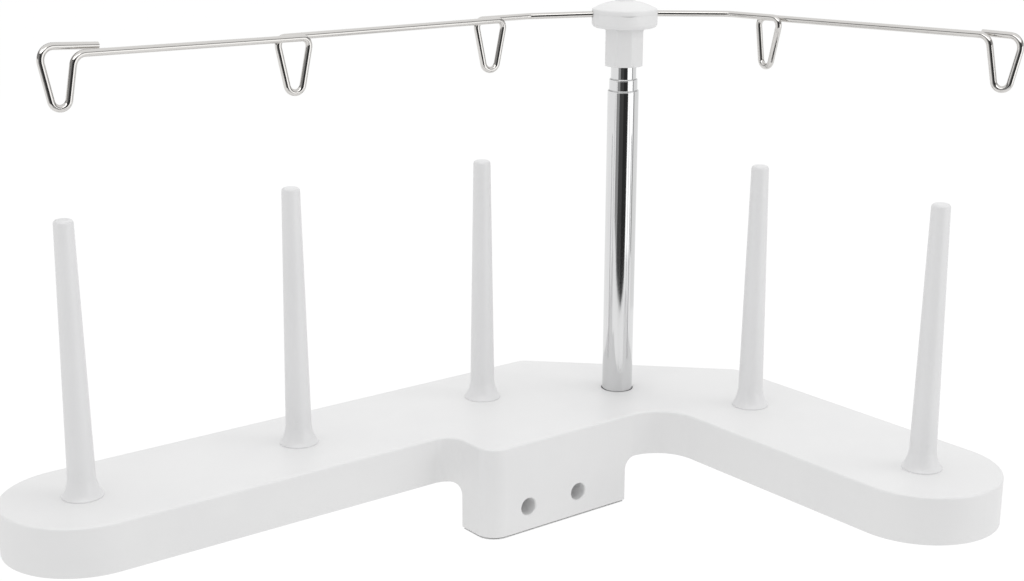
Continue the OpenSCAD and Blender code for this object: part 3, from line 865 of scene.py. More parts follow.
    def build_shell(self) -> Piece:
        """Builds the moulding: plate, boss, fillets, holes and the recesses of the covers.

        Returns:
            The object.
        """
        shell = slab("base_moulding", self.corners(), self.edge_rungs())
        cut(shell, [self.below_plate()])
        deep, high = (Vector((*self.mast, z)) for z in (-self.mast_hole_depth, PAST))
        tools = [rod(self.mast_hole_d / 2, deep, high, self.mast_hole_sides)]
        r, front, back, bevel = self.hole_d / 2, -self.boss_face, self.boss_back, self.hole_bevel
        mouth, sides = r + bevel + PAST, self.hole_sides
        bore = ((front - PAST, mouth), (front + bevel, r), (back - bevel, r), (back + PAST, mouth))
        for k in (-1, 1):
            at = Vector((-self.hole_shift + k * self.hole_pitch / 2, 0, -self.hole_drop))
            tools.append(tool([circle(at + y * Y, size, sides, X, Z) for y, size in bore]))
        cut(shell, tools)
        under, bottom, room = -self.plate_t, self.boss_bottom, self.cover_t - self.foot_t
        roof = under + self.cover_t
        rungs = [(self.wall, under - JUST_PAST), (self.wall, roof + self.cover_room)]
        plate = slab("plate_recess", self.corners(), rungs)
        cut(plate, [self.apron_tool(0.0, under - PAST, roof + JUST_PAST)])
        rungs = [(self.boss_wall, bottom - JUST_PAST), (self.boss_wall, bottom + room)]
        return cut(shell, [plate, slab("boss_recess", self.boss_corners(), rungs)])

    def build_plate_cover(self) -> Piece:
        """Builds the cover under the arms, with a fine edge and its screw and access holes.

        Returns:
            The object.
        """
        under, inset, bevel = -self.plate_t, self.wall + self.cover_gap, self.cover_bevel
        rungs = [(inset + bevel, under), (inset, under + bevel), (inset, under + self.cover_t)]
        cover = slab("plate_cover", self.corners(), rungs)
        low, high = under - JUST_PAST, under + self.cover_t + JUST_PAST
        apron = self.apron_tool(self.cover_gap, low, high)
        access = rod(self.access_d / 2, Vector((*self.mast, low)), Vector((*self.mast, high)))
        return cut(cover, [apron, *self.screw_holes(self.posts(), under), access])

    def build_boss_cover(self) -> Piece:
        """Builds the foot under the boss, set in a little from its walls.

        Returns:
            The object.
        """
        low, bottom, inner = self.foot, self.boss_bottom, self.boss_wall + self.cover_gap
        edge, neck, top = self.foot_rim_in, self.foot_neck_in, self.foot + self.foot_rim_t
        roof = bottom + self.cover_t - self.foot_t - self.boss_cover_room
        b, c = self.foot_bevels
        rungs = [
            (edge + b, low), (edge, low + b), (edge, top - c), (edge + c, top),
            (neck, top), (neck, bottom), (inner, bottom), (inner, roof),
        ]
        cover = slab("boss_foot_cover", self.boss_corners(), rungs)
        return cut(cover, self.screw_holes(self.boss_posts(), low))

    def dress(self) -> None:
        """Builds the moulding and its covers and gives them their finish."""
        dress(self.build_shell(), PLASTIC, Body.BASE, "base_shell")
        dress(self.build_plate_cover(), PLASTIC, Body.BASE, "base_cover")
        dress(self.build_boss_cover(), PLASTIC, Body.BASE, "boss_cover")


@dataclass
class SpoolPins:
    """The five tapered pins with their flared feet."""

    plate: BasePlate
    height: float = 100.6
    tip_d: float = 6.9
    root_d: float = 10.0
    foot_d: float = 14.8
    foot_h: float = 7.0
    foot_rim: float = 0.4
    foot_edge: float = 0.05
    tip_r: float = 1.25
    spigot_d: float = 8.0
    spigot_h: float = 2.0
    gate_d: float = 1.3
    gate_rise: float = 3.0
    gate_depth: float = 0.12
    gate_turn: float = 38.0
    gate_sides: int = 20
    sides: int = 96

    def profile(self) -> Profile:
        """Works out the pin's profile, whose foot flares by a cycloid.

        Returns:
            Radius and height pairs from the spigot to the tip.
        """
        foot, root, tip = self.foot_d / 2, self.root_d / 2, self.tip_d / 2
        spigot, rim, tall = self.spigot_d / 2, self.foot_rim, self.foot_h - self.foot_rim
        flare = []
        for a in range(0, 91, 6):
            turn, share = radians(a), a / 90
            r = foot - (foot - root) / 2 * (sin(turn) + share)
            flare.append((r, rim + tall / 2 * (1 - cos(turn) + share)))
        long = self.height - self.foot_h
        slope = (root - tip) / long
        rises = (4.0, 30.0, 60.0, long - self.tip_r - 0.5)
        return [
            (0.0, -self.spigot_h), (spigot, -self.spigot_h), (spigot, 0.0),
            (foot - self.foot_edge, 0.0), (foot, 0.06), *flare,
            *((root - slope * rise, self.foot_h + rise) for rise in rises),
            *rounding(tip - self.tip_r, self.height - self.tip_r, self.tip_r, 0, 90, 6),
            (tip - self.tip_r - 0.2, self.height), (0.0, self.height),
        ]

    def build(self, index: int, at: Pair) -> Piece:
        """Builds one pin with the mark of its gate near the foot.

        Args:
            index: The pin's number, from 1.
            at: Its place.

        Returns:
            The object.
        """
        pin = new_piece(f"spool_pin_body_{index}", turned(self.profile(), self.sides, at))
        turn = radians(self.gate_turn)
        side = Vector((-sin(turn), -cos(turn), 0))
        start = Vector((*at, self.foot_h + self.gate_rise))
        start += side * (self.root_d / 2 - self.gate_depth)
        return cut(pin, [rod(self.gate_d / 2, start, start + side * PAST, self.gate_sides)])

    def dress(self) -> None:
        """Builds the pins and gives them their finish."""
        for index, at in enumerate(self.plate.pins(), 1):
            dress(self.build(index, at), PIN_PLASTIC, Body.BASE, f"spool_pin_{index}")


@dataclass
class Tube:
    """One tube of the mast; a lip rolled in at its top guides the next tube."""

    name: str
    node: str
    body: Body
    outer_d: float
    wall: float
    low: float
    high: float
    lip_bore: float | None = None
    lip_h: float = 1.4
    lip_wall: float = 0.24
    roll_h: float = 0.5
    bead_h: float = 0.6
    bead_depth: float = 0.03
    bevel: float = 0.1
    sides: int = 128

    def profile(self) -> Profile:
        """Works out the tube's wall.

        Returns:
            Radius and height pairs of the closed profile.
        """
        low, high, r = self.low, self.high, self.outer_d / 2
        b = r - self.wall
        if self.lip_bore is None:
            return [(b, low), (r, low), (r, low + 0.5), (r, high - 0.5), (r, high), (b, high)]
        lip = self.lip_bore / 2
        crest, bead = lip + self.lip_wall, high - self.roll_h - self.bead_h
        turns = [radians(a) for a in range(0, 91, 9)]
        roll = [(crest + (r - crest) * cos(t), high - self.roll_h * (1 - sin(t))) for t in turns]
        groove = [
            (r - self.bead_depth * (1 - cos(radians(a))) / 2, bead + self.bead_h * a / 360)
            for a in range(0, 331, 30)
        ]
        return [
            (b, low), (r - self.bevel, low), (r, low + self.bevel), (r, low + HOLD),
            (r, bead - HOLD),
            *groove, *roll, (lip + 0.08, high), (lip, high - self.bevel),
            (lip, high - self.lip_h * 0.6), (b, high - self.lip_h * 1.2),
        ]

    def dress(self, at: Pair) -> None:
        """Builds the tube and gives it its finish."""
        tube = new_piece(self.name, turned(self.profile(), self.sides, at), ROUND_SHARP)
        dress(tube, TUBE_CHROME, self.body, self.node)


@dataclass
class Mast:
    """The telescopic mast: a fixed tube and two that slide."""

    plate: BasePlate
    outer_d: float = 12.7
    middle_d: float = 11.5
    inner_d: float = 10.3
    wall: float = 0.4
    run_gap: float = 0.05
    outer_low: float = -12.3
    outer_high: float = 127.5
    middle_low: float = 0.0
    middle_high: float = 132.1
    inner_low: float = 9.3
    collar_foot: float = 137.2
    grip: float = 11.8
    nylon_nodes: tuple[str, ...] = ("mast_foot_plug", "middle_bush", "inner_bush", "top_plug")
    steel_nodes: tuple[str, ...] = (
        "mast_foot_washer", "mast_foot_screw", "swivel_washer", "swivel_screw",
    )

    def tubes(self) -> list[Tube]:
        """Works out the three tubes.

        Returns:
            The tubes, from the outside in.
        """
        play, top = 2 * self.run_gap, self.collar_foot + self.grip
        middle_lip, inner_lip = self.middle_d + play, self.inner_d + play
        outer = (self.outer_d, self.outer_low, self.outer_high, middle_lip)
        middle = (self.middle_d, self.middle_low, self.middle_high, inner_lip)
        rows = (
            ("fixed", "outer", Body.BASE, *outer),
            ("middle_stage", "middle", Body.MIDDLE, *middle),
            ("inner_stage", "inner", Body.INNER, self.inner_d, self.inner_low, top, None),
        )
        return [
            Tube(f"{name}_tube", f"{node}_tube", body, d, self.wall, low, high, lip)
            for name, node, body, d, low, high, lip in rows
        ]

    def dress(self, frame: dict) -> None:
        """Builds the tubes and dresses the pieces inside them.
        """
        for tube in self.tubes():
            tube.dress(self.plate.mast)
        for nodes, finish in ((self.nylon_nodes, PLUG_NYLON), (self.steel_nodes, SCREW_STEEL)):
            for node in nodes:
                dress_node(frame, node, finish)


@dataclass
class GuideHead:
    """The head on the mast that holds the wire: collar, disc and domed cap."""

    mast: Mast
    yaw: float = -29.6
    droop: float = 0.8
    left_half: float = 39.0
    right_half: float = 42.8
    collar_d: float = 16.0
    collar_h: float = 15.5
    collar_r: float = 0.8
    fillet_r: float = 0.3
    panel_count: int = 8
    panel_turn: float = -100.4
    panel_w: float = 5.5
    panel_depth: float = 0.5
    panel_top: float = 0.9
    panel_r: float = 1.0
    disc_d: float = 26.4
    disc_h: float = 7.8
    low_r: float = 1.8
    top_r: float = 1.0
    dome_h: float = 3.1
    button_d: float = 7.4
    button_h: float = 1.2
    button_r: float = 0.5
    button_fillet_r: float = 0.4
    wire_rise: float = 21.1
    wire_d: float = 2.5
    wire_gap: float = 0.08
    mouth_bevel: float = 0.2
    seam_gap: float = 0.03
    notch_w: float = 6.8
    notch_h: float = 0.5
    notch_turn: float = -94.7
    channel_sides: int = 40
    sides: int = 160

    @property
    def at(self) -> Pair:
        """Place of the head."""
        return self.mast.plate.mast

    @property
    def foot(self) -> float:
        """Height of the collar's lower end."""
        return self.mast.collar_foot

    @property
    def wire_z(self) -> float:
        """Height of the wire in the middle of the head."""
        return self.foot + self.wire_rise

    def around(self, angle: float, reach: float, height: float) -> Vector:
        """A point by degrees from the head's own X, distance from the mast's axis and height."""
        turn, (x, y) = radians(self.yaw + angle), self.at
        return Vector((x + reach * cos(turn), y + reach * sin(turn), height))

    def outward(self, angle: float) -> tuple[Vector, Vector]:
        """The direction out from the mast's axis at an angle, and the one across it."""
        out = (self.around(angle, 1.0, 0) - self.around(angle, 0.0, 0)).normalized()
        return out, out.cross(Z)

    def wire_tools(self) -> list[Piece]:
        """The two straight channels of the wire, with their countersunk mouths.

        Returns:
            The cutting tools.
        """
        tools = []
        r, rim, wide = self.wire_d / 2 + self.wire_gap, self.disc_d / 2, self.mouth_bevel
        mouth = ((r - 0.05, rim - 0.4), (r + wide, rim + 0.05), (r + wide, rim + 1.5))
        for angle, half in ((180, self.left_half), (0, self.right_half)):
            fall = self.droop / half
            start, end, *middles = (
                self.around(angle, reach, self.wire_z - reach * fall)
                for reach in (0.3, rim + PAST, *(reach for _, reach in mouth))
            )
            side = (end - start).normalized().cross(Z)
            tools.append(rod(r, start, end, self.channel_sides))
            rings = zip(middles, mouth)
            sides = self.channel_sides
            tools.append(tool([circle(p, size, sides, side, Z) for p, (size, _) in rings]))
        return tools

    def panel_tool(self, index: int) -> Piece:
        """A flat recess of the collar with rounded upper corners.

        Args:
            index: Its number round the collar.

        Returns:
            The cutting tool.
        """
        angle = self.panel_turn + index * 360 / self.panel_count
        r, low = self.panel_r, self.foot - JUST_PAST
        high = self.foot + self.collar_h - self.panel_top
        half, inner = self.panel_w / 2, self.panel_w / 2 - r
        outline = [(-half, low), (half, low)]
        outline += [(inner + r * cos(a), high - r + r * sin(a)) for a in QUARTER]
        outline += [(-inner - r * sin(a), high - r + r * cos(a)) for a in QUARTER]
        _, side = self.outward(angle)
        reaches = (self.collar_d / 2 - self.panel_depth, self.collar_d / 2 + PAST)
        near, far = (self.around(angle, reach, 0) for reach in reaches)
        return prism([side * s + z * Z for s, z in outline], near, far)

    def notch_tool(self) -> Piece:
        """The pry notch below the seam.

        Returns:
            The cutting tool.
        """
        d, half, seam = self.disc_d / 2, self.notch_w / 2, self.wire_z - self.seam_gap / 2
        out, side = self.outward(self.notch_turn)
        middle = self.around(self.notch_turn, sqrt(d * d - half * half), seam + 0.02)
        turns = [pi * k / 24 for k in range(25)]
        crescent = [side * half * cos(a) - self.notch_h * sin(a) * Z for a in turns]
        return prism(crescent, middle, middle + PAST * out)

    def build_body(self) -> Piece:
        """Builds the collar and the lower half of the disc.

        Returns:
            The object.
        """
        c, d, foot, low_r = self.collar_d / 2, self.disc_d / 2, self.foot, self.low_r
        disc, seam = foot + self.collar_h, self.wire_z - self.seam_gap / 2
        bore, roof = self.mast.inner_d / 2 + self.mast.run_gap, foot + self.mast.grip + 0.3
        e, f = self.collar_r, self.fillet_r
        profile = [
            (0.0, roof), (bore, roof), (bore, foot + 0.4), (bore + 0.3, foot),
            *rounding(c - e, foot + e, e, -90, 0, 6), (c, foot + 1.2), (c, disc - f),
            *rounding(c + f, disc - f, f, 180, 90, 4),
            (c + 0.9, disc), (d - low_r - BESIDE, disc),
            *rounding(d - low_r, disc + low_r, low_r, -90, 0, 9), (d, disc + low_r + BESIDE),
            (d, seam - 0.25), (d, seam), (0.0, seam),
        ]
        body = new_piece("guide_head_body", turned(profile, self.sides, self.at))
        cut(body, [self.panel_tool(k) for k in range(self.panel_count)])
        return cut(body, [self.notch_tool(), *self.wire_tools()])

    def dome(self, r: float) -> float:
        """Works out the dome's height.

        Args:
            r: Distance from the mast's axis.

        Returns:
            The height there.
        """
        edge, h = self.disc_d / 2 - self.top_r, self.dome_h
        ball = (edge * edge + h * h) / (2 * h)
        rim = self.foot + self.collar_h + self.disc_h
        return rim + h - ball + sqrt(ball * ball - r * r)

    def build_cap(self) -> Piece:
        """Builds the domed upper half of the disc with its raised button.

        Returns:
            The object.
        """
        d, top_r, seam = self.disc_d / 2, self.top_r, self.wire_z + self.seam_gap / 2
        rim, edge = self.foot + self.collar_h + self.disc_h, d - top_r
        button, foot = self.button_d / 2, self.dome(self.button_d / 2)
        crest, e, f = foot + self.button_h, self.button_r, self.button_fillet_r
        radii = [edge - (edge - button - 0.5) * k / 10 for k in range(11)]
        profile = [
            (0.0, seam), (d, seam), (d, seam + 0.25), (d, rim - top_r - 0.2),
            *rounding(edge, rim - top_r, top_r, 0, 78, 6), *((r, self.dome(r)) for r in radii),
            *rounding(button + f, foot + f, f, -90, -180, 3),
            *rounding(button - e, crest - e, e, 0, 90, 5), (button - 0.8, crest),
            (0.0, crest),
        ]
        cap = new_piece("guide_head_cap", turned(profile, self.sides, self.at))
        return cut(cap, self.wire_tools())

    def dress(self) -> None:
        """Builds the head's two halves and gives them their finish."""
        dress(self.build_body(), PLASTIC, Body.GUIDE, "head_body")
        dress(self.build_cap(), PLASTIC, Body.GUIDE, "head_cap")


@dataclass(frozen=True)
class Arm:
    """A straight arm of the wire: its bend beside the head, and its heading in degrees."""

    bend: Vector
    way: float

    def point(self, along: float, behind: float, above: float) -> Vector:
        """A point by its distances along the arm from the bend, behind it and above it."""
        c, s = cos(radians(self.way)), sin(radians(self.way))
        return self.bend + Vector((c, s, 0)) * along + Vector((-s, c, 0)) * behind + above * Z


@dataclass
class ThreadGuide:
    """The bent wire with its thread loops, one continuous bar from end to end.

    A shift is how far a loop's corner lies behind the arm and above it. The left tail lies aside of
    its arm in the same two ways, by shares of the distance between two strands.
    """

    head: GuideHead
    left_bend: float = 33.9
    right_bend: float = 49.1
    left_first: float = 21.1
    left_step: float = 92.1
    left_end_step: float = 90.2
    right_first: float = 19.4
    right_step: float = 99.1
    loop_drop: float = 19.0
    left_drop: float = 17.6
    right_drop: float = 18.8
    leg_angle: float = 11.0
    bottom_r: float = 3.0
    corner_r: float = 3.0
    end_corner_r: float = 4.5
    middle_r: float = 4.0
    left_tail: float = 15.5
    right_tail: float = 10.0
    left_rise: float = 1.2
    left_end_rise: float = 1.3
    right_lean: float = -1.3
    strand_gap: float = 0.3
    tail_aside: Pair = (0.79, 0.63)
    far_left_shifts: tuple[Pair, Pair] = ((-1.8, -0.2), (1.4, 0.25))
    near_left_shifts: tuple[Pair, Pair] = ((-2.2, -0.2), (0.9, 0.25))
    right_shifts: tuple[Pair, Pair] = ((-1.5, 0.15), (1.95, -0.45))
    right_end_rises: Pair = (0.15, 0.45)
    sides: int = 20

    def vee(self, drop: float) -> float:
        """Depth of the sharp corner below a loop's rounded bottom."""
        return drop + self.bottom_r * (1 / sin(radians(self.leg_angle)) - 1)

    def half_top(self, drop: float) -> float:
        """Half of a loop's width at the bar."""
        return self.vee(drop) * tan(radians(self.leg_angle))

    def loop(
        self, arm: Arm, at: float, shifts: tuple[Pair, Pair], lean: float = 0.0
    ) -> list[Bend]:
        """The three corners of a loop in the middle of an arm.

        Args:
            arm: The arm.
            at: Place of the loop along it.
            shifts: The shifts of its corner nearer the arm's end and of the other one.
            lean: How far its bottom is moved along the arm.

        Returns:
            The corners, each with its bend radius.
        """
        far, near = shifts
        half, low = self.half_top(self.loop_drop), (far[0] + near[0]) / 2
        return [
            (arm.point(at + half, *far), self.corner_r),
            (arm.point(at + lean, low, -self.vee(self.loop_drop)), self.bottom_r),
            (arm.point(at - half, *near), self.corner_r),
        ]

    def corners(self) -> list[Bend]:
        """Works out the wire's corners.

        Returns:
            The corners from its left end to its right end, each with its bend radius.
        """
        head, low, end_r = self.head, self.head.wire_z - self.head.droop, self.end_corner_r
        left = Arm(head.around(180, head.left_half, low), head.yaw + self.left_bend)
        right = Arm(head.around(0, head.right_half, low), head.yaw - self.right_bend)
        first = -self.left_first - self.left_step - self.left_end_step
        last = self.right_first + self.right_step
        strand = head.wire_d + self.strand_gap
        rise, (behind, above) = self.left_rise, self.tail_aside
        back, up = behind * strand, rise + above * strand
        lh, rh = self.half_top(self.left_drop), self.half_top(self.right_drop)
        return [
            (left.point(first + self.left_tail, back, up), 0.0),
            (left.point(first - lh, back, up + self.left_end_rise), end_r),
            (left.point(first, 0, rise - self.vee(self.left_drop)), self.bottom_r),
            (left.point(first + lh, 0, rise), end_r),
            *self.loop(left, -self.left_first - self.left_step, self.far_left_shifts),
            *self.loop(left, -self.left_first, self.near_left_shifts),
            (left.bend, end_r),
            (Vector((*head.at, head.wire_z)), self.middle_r),
            (right.bend, end_r),
            *self.loop(right, self.right_first, self.right_shifts, self.right_lean),
            (right.point(last - rh, 0, 0), end_r),
            (right.point(last, 0, -self.vee(self.right_drop)), self.bottom_r),
            (right.point(last + rh, strand, self.right_end_rises[0]), end_r),
            (right.point(last - self.right_tail, strand, self.right_end_rises[1]), 0.0),
        ]

    def path(self) -> Ring:
        """Works out the wire's centre line.

        Returns:
            Its points, from end to end.
        """
        bends = self.corners()
        rows = zip(bends, bends[1:], bends[2:])
        arcs = (p for (a, _), (b, r), (c, _) in rows for p in arc_points(a, b, c, r, 5.0))
        return [bends[0][0], *arcs, bends[-1][0]]

    def swept(self) -> ShapeTree:
        """Builds the tree that sweeps a round bar along a curve and closes its two cut ends.

        Returns:
            The tree.
        """
        tree = ShapeTree("round_wire", Wire_Radius="Float", Sides="Int")
        sizes = {"Resolution": tree.given["Sides"], "Radius": tree.given["Wire Radius"]}
        ring = tree.add("GeometryNodeCurvePrimitiveCircle", **sizes)
        route = tree.given["Geometry"]
        tree.end(tree.add("GeometryNodeCurveToMesh", route, ring, Fill_Caps=True))
        return tree

    def dress(self) -> None:
        """Builds the wire and gives it its finish."""
        curve = bpy.data.curves.new("wire_route", "CURVE")
        curve.dimensions = "3D"
        points = [in_metres(p) for p in self.path()]
        spline = curve.splines.new("POLY")
        spline.points.add(len(points) - 1)
        for target, point in zip(spline.points, points):
            target.co = (*point, 1.0)
        sizes = {"Wire_Radius": self.head.wire_d / 2 * MM, "Sides": self.sides}
        data = self.swept().run(add_object("wire_route", curve), WIRE_CHROME, **sizes)
        shade(data, ROUND_SHARP)
        dress(add_object("wire_guide", data), WIRE_CHROME, Body.GUIDE, "thread_guide")


@dataclass
class Screws:
    """The cross-head screws under the covers and under the pins."""

    plate: BasePlate
    shank_d: float = 3.0
    head_d: float = 5.8
    head_h: float = 1.3
    head_r: float = 0.7
    thread_pitch: float = 1.1
    thread_depth: float = 0.3
    thread_form: Triple = (0.3, 0.55, 0.8)
    point_share: float = 0.6
    point_h: float = 0.2
    crown_share: float = 0.55
    sides: int = 32
    cross_long: float = 0.6
    cross_wide: float = 0.13
    cross_deep: float = 0.55
    cover_length: float = 5.4
    pin_length: float = 9.4
    pin_seat: float = -11.3
    cover_seed: int = 3
    pin_seed: int = 5
    sharp: float = 45.0

    def build_one(self, length: float) -> Piece:
        """Builds one pan-head screw, its head's seat at the origin and its point upwards.

        Args:
            length: Length of its shank.

        Returns:
            The object, in metres.
        """
        r, h, edge, crest = self.head_d / 2, self.head_h, self.head_r, self.shank_d / 2
        core = crest - self.thread_depth
        profile = [(0.0, -h), (r * self.crown_share, -h)]
        profile += [*rounding(r - edge, edge - h, edge, -80, 0, 4), (r, 0.0), (core, 0.0)]
        for k in range(int(length / self.thread_pitch)):
            z = k * self.thread_pitch
            profile += [(x, z + y) for x, y in zip((core, crest, core), self.thread_form)]
        profile += [(core * self.point_share, length - self.point_h), (0.0, length)]
        screw = new_piece("screw", turned(profile, self.sides), self.sharp, Vector())
        a, b = self.head_d * self.cross_long / 2, self.head_d * self.cross_wide / 2
        deep = h * self.cross_deep
        return cut(screw, [
            prism(rectangle((-x, -y), (x, y)), (-h - deep) * Z, (deep - h) * Z, Vector())
            for x, y in ((a, b), (b, a))
        ])

    def scattered(self) -> ShapeTree:
        """Builds the tree that sets a screw on each point, turned by its own seeded angle.

        Returns:
            The tree.
        """
        tree = ShapeTree("screw_set", Screw="Object", Seed="Int")
        shape = tree.add("GeometryNodeObjectInfo", Object=tree.given["Screw"]).outputs["Geometry"]
        full, seed = 2 * pi, tree.given["Seed"]
        spin = tree.add("FunctionNodeRandomValue", data_type="FLOAT", Max=full, Seed=seed)
        turn = tree.add("ShaderNodeCombineXYZ", Z=spin)
        seats = tree.given["Geometry"]
        parts = {"Points": seats, "Instance": shape, "Rotation": turn}
        tree.end(tree.add("GeometryNodeInstanceOnPoints", **parts))
        return tree

    def set_on(self, node: str, seats: Sequence[Vector], length: float, seed: int) -> None:
        """Sets a screw on each seat, as one plain mesh, and gives the screws their finish.

        Args:
            node: The node that the screws stand for.
            seats: Seats of their heads.
            length: Length of their shanks.
            seed: Seed of their turns.
        """
        data = bpy.data.meshes.new("seats")
        data.from_pydata([in_metres(p) for p in seats], [], [])
        one = self.build_one(length)
        made = self.scattered().run(add_object("seats", data), SCREW_STEEL, Screw=one, Seed=seed)
        bpy.data.objects.remove(one)
        shade(made, self.sharp)
        piece = add_object(node.removesuffix("s") + "_set", made)
        dress(piece, SCREW_STEEL, Body.BASE, node)

    def dress(self) -> None:
        """Sets the screws of the covers and of the pins."""
        plate, recess = self.plate, self.plate.screw_recess
        covers = [Vector((*p, recess - plate.plate_t)) for p in plate.posts()]
        covers += [Vector((*p, recess + plate.foot)) for p in plate.boss_posts()]
        self.set_on("cover_screws", covers, self.cover_length, self.cover_seed)
        pins = [Vector((*p, self.pin_seat)) for p in plate.pins()]
        self.set_on("pin_screws", pins, self.pin_length, self.pin_seed)


@dataclass(frozen=True)
class Lamp:
    """A soft square lamp, with its place and side in metres and its power in watts."""

    name: str
    at: Triple
    side: float
    power: float


@dataclass(frozen=True)
class Card:
    """A curved card round the mast that only polished metal reflects; a level of 1 is white.

    Its lower edge is given by degrees round the mast from the camera, positive to the right, and by
    heights above the plate, which are in metres as its reach and its upper edge are.
    """

    name: str
    level: float
    edge: tuple[Pair, ...]
    reach: float = 1.0
    high: float = 0.62


LAMP_AIM = Vector((0.0, 0.0, 0.04))
LAMPS = (
    Lamp("top_lamp", (-0.1, 0.2, 1.6), 1.6, 6.4),
    Lamp("right_lamp", (1.1, -1.1, 0.9), 1.0, 4.2),
    Lamp("left_lamp", (-1.35, -0.4, 0.55), 0.9, 0.95),
)

# The dark room behind the camera and the screens beside it, lowest where the floor shows in them
DARK_EDGE = (
    (-45.0, -0.15), (-29.0, -0.194), (-21.0, -0.216), (-5.5, -0.237),
    (12.0, -0.248), (25.0, -0.237), (37.0, -0.216), (39.0, -0.15),
)
DOORWAY_EDGE = ((6.0, -0.236), (12.0, -0.242), (25.0, -0.232), (32.0, -0.18))
ROOM = (
    Card("dark_room", 0.065, DARK_EDGE, high=0.74),
    Card("black_doorway", 0.03, DOORWAY_EDGE, 0.99),
    Card("grey_edge", 0.34, ((-46.0, -0.14), (-29.0, -0.19), (-24.0, -0.205)), 0.98),
    Card("bright_screen", 1.5, ((39.0, -0.19), (83.0, -0.19))),
    Card("screen_edge", 0.42, ((83.0, -0.19), (95.0, -0.19))),
    Card("right_wall", 0.9, ((95.0, -0.25), (180.0, -0.25))),
    Card("left_shelf", 0.27, ((-150.0, 0.24), (-45.0, 0.24)), 0.96, 0.72),
    Card("right_shelf", 0.35, ((39.0, 0.32), (150.0, 0.32)), 0.96, 0.8),
    Card("light_strip", 2.2, ((-45.0, 0.74), (39.0, 0.74)), high=1.4),
)


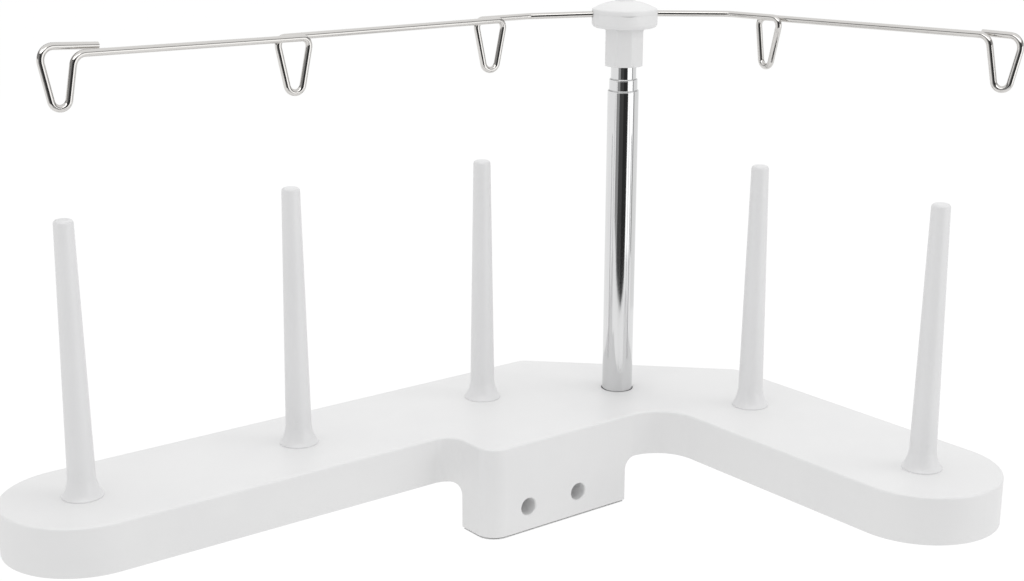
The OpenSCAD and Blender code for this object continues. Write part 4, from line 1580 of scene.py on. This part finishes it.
@dataclass
class Studio:
    """Floor, lamps, room and camera; lengths are in metres but for the camera's place."""

    mast: Vector
    rack_low: float
    floor_drop: float = 0.22
    floor_size: float = 30.0
    floor_colour: float = 0.9
    floor_share: float = 0.88
    floor_glow: float = 1.04
    world_level: float = 0.81
    card_step: float = 3.0
    rug_level: float = 0.04
    rug_reach: Pair = (0.67, 0.8)
    rug_sector: Pair = (-8.0, 60.0)
    rug_drop: float = 0.255
    focal: float = 1627.0
    camera_at: Triple = (-386.5, -518.5, 224.5)
    yaw: float = 37.79
    pitch: float = 15.42
    roll: float = 0.172

    @property
    def eye(self) -> Vector:
        """The camera's place in metres."""
        return in_metres(Vector(self.camera_at))

    def bare(self, owner: Material | bpy.types.World) -> Graph:
        """Empties the node tree of a material or a world.

        Args:
            owner: The material or world.

        Returns:
            Its graph.
        """
        owner.use_nodes = True
        owner.node_tree.nodes.clear()
        return Graph(owner.node_tree)

    def seen(self, graph: Graph) -> Node:
        """Tells rays that show a thing, directly, in a mirror or through glass, from light.

        Args:
            graph: The graph that the nodes go into.

        Returns:
            The node that gives 1 for such rays.
        """
        ray = graph.add("ShaderNodeLightPath").outputs
        through = (ray["Is Camera Ray"], ray["Is Transmission Ray"])
        some = graph.add("ShaderNodeMath", *through, operation="MAXIMUM")
        return graph.add("ShaderNodeMath", some, ray["Is Glossy Ray"], operation="MAXIMUM")

    def world(self) -> None:
        """Sets a white world that lights at its own level and shows as white."""
        bpy.context.scene.world = bpy.data.worlds.new("studio_world")
        graph = self.bare(bpy.context.scene.world)
        white = {"Color": (1.0, 1.0, 1.0, 1.0)}
        lit, shown = (
            graph.add("ShaderNodeBackground", Strength=level, **white)
            for level in (self.world_level, 1.0)
        )
        mix = graph.add("ShaderNodeMixShader", self.seen(graph), lit, shown)
        graph.add("ShaderNodeOutputWorld", Surface=mix)

    def stage_piece(self, name: str, points: Ring, faces: list) -> tuple[Piece, Graph]:
        """Makes a mesh that isn't part of the rack.

        Args:
            name: Its name.
            points: Its points in metres.
            faces: Its faces.

        Returns:
            The object and its material's empty graph.
        """
        data = bpy.data.meshes.new(name)
        data.from_pydata(points, [], faces)
        made = add_object(name, data)
        data.materials.append(bpy.data.materials.new(name))
        made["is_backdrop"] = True
        return made, self.bare(data.materials[0])

    def floor(self) -> None:
        """Lays a wide pale floor that shows as white and keeps a hint of the shadow."""
        half, height = self.floor_size / 2, self.rack_low - self.floor_drop
        points = [p + height * Z for p in rectangle((-half, -half), (half, half))]
        _, graph = self.stage_piece("studio_floor", points, [(0, 1, 2, 3)])
        pale = (*[self.floor_colour] * 3, 1.0)
        seen = self.seen(graph)
        share = graph.add("ShaderNodeMath", seen, self.floor_share, operation="MULTIPLY")
        matte = graph.add("ShaderNodeBsdfDiffuse", Color=pale)
        glow = graph.add("ShaderNodeEmission", Strength=self.floor_glow)
        mix = graph.add("ShaderNodeMixShader", share, matte, glow)
        graph.add("ShaderNodeOutputMaterial", Surface=mix)

    def lamp(self, lamp: Lamp) -> None:
        """Hangs a lamp, which reflections don't show.

        Args:
            lamp: The lamp.
        """
        data = bpy.data.lights.new(lamp.name, "AREA")
        data.shape, data.size, data.energy = "SQUARE", lamp.side, lamp.power
        light = add_object(lamp.name, data)
        light.location = lamp.at
        light.visible_glossy = False
        light.rotation_euler = (LAMP_AIM - Vector(lamp.at)).to_track_quat("-Z", "Y").to_euler()

    def round_mast(self, angle: float, reach: float, height: float) -> Vector:
        """A place by degrees round the mast from the camera, distance and height."""
        turn = atan2(*(self.eye - self.mast).yx) + radians(angle)
        return self.mast + Vector((reach * cos(turn), reach * sin(turn), height))

    def reflected(self, name: str, level: float, upper: Ring, lower: Ring) -> None:
        """Sets a glowing strip that only polished metal reflects.

        Args:
            name: The strip's name.
            level: Its brightness, 1 for white.
            upper: The points of one edge.
            lower: As many points of the other edge.
        """
        n = len(upper)
        faces = [(i, i + 1, n + i + 1, n + i) for i in range(n - 1)]
        made, graph = self.stage_piece(name, upper + lower, faces)
        glow = graph.add("ShaderNodeEmission", Strength=level)
        graph.add("ShaderNodeOutputMaterial", Surface=glow)
        made.visible_camera = made.visible_diffuse = False
        made.visible_shadow = made.visible_transmission = False

    def card(self, card: Card) -> None:
        """Stands a card round the mast.

        Args:
            card: The card.
        """
        foot: Ring = []
        for (a, low), (b, high) in zip(card.edge, card.edge[1:]):
            count = max(1, ceil((b - a) / self.card_step))
            for share in (k / count for k in range(count)):
                turn, rise = a + (b - a) * share, low + (high - low) * share
                foot.append(self.round_mast(turn, card.reach, rise))
        foot.append(self.round_mast(card.edge[-1][0], card.reach, card.edge[-1][1]))
        rim = [Vector((p.x, p.y, self.mast.z + card.high)) for p in foot]
        self.reflected(card.name, card.level, rim, foot)

    def rug(self) -> None:
        """Lays a dark rug just above the floor, which only polished metal reflects."""
        (first, last), count = self.rug_sector, 48
        turns = [first + (last - first) * k / count for k in range(count + 1)]
        near, far = (
            [self.round_mast(turn, reach, -self.rug_drop) for turn in turns]
            for reach in self.rug_reach
        )
        self.reflected("dark_rug", self.rug_level, near, far)

    def camera(self) -> None:
        """Sets the camera at the photograph's place, with its lens."""
        data = bpy.data.cameras.new("photo_camera")
        data.sensor_fit = "HORIZONTAL"
        data.sensor_width = SENSOR_WIDTH
        data.lens = self.focal * SENSOR_WIDTH / PHOTO_WIDTH
        data.clip_start, data.clip_end = 0.01, 100.0
        yaw, pitch, roll = (radians(a) for a in (self.yaw, self.pitch, self.roll))
        level, sink = cos(pitch), -sin(pitch)
        ahead = Vector((sin(yaw) * level, cos(yaw) * level, sink))
        right = Vector((cos(yaw), -sin(yaw), 0))
        up = right.cross(ahead)
        c, s = cos(roll), sin(roll)
        turn = Matrix((c * right + s * up, c * up - s * right, -ahead)).transposed().to_4x4()
        eye = add_object("photo_camera", data)
        eye.matrix_world = Matrix.Translation(self.eye) @ turn
        bpy.context.scene.camera = eye

    def set_up(self) -> None:
        """Sets the world, the floor, the lamps, the room and the camera."""
        self.world()
        self.floor()
        for lamp in LAMPS:
            self.lamp(lamp)
        for card in ROOM:
            self.card(card)
        self.rug()
        self.camera()
        bpy.context.scene.view_settings.view_transform = "Standard"


def main() -> None:
    """Builds the rack, piece by piece, and its studio."""
    logging.basicConfig(level=logging.INFO, format="%(name)s: %(message)s")
    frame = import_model()
    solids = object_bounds()
    plate = BasePlate()
    mast = Mast(plate)
    head = GuideHead(mast)
    plate.dress()
    SpoolPins(plate).dress()
    mast.dress(frame)
    head.dress()
    ThreadGuide(head).dress()
    Screws(plate).dress()
    Studio(in_metres(Vector((*plate.mast, 0.0))), solids[0][2]).set_up()


if __name__ == "__main__":
    main()
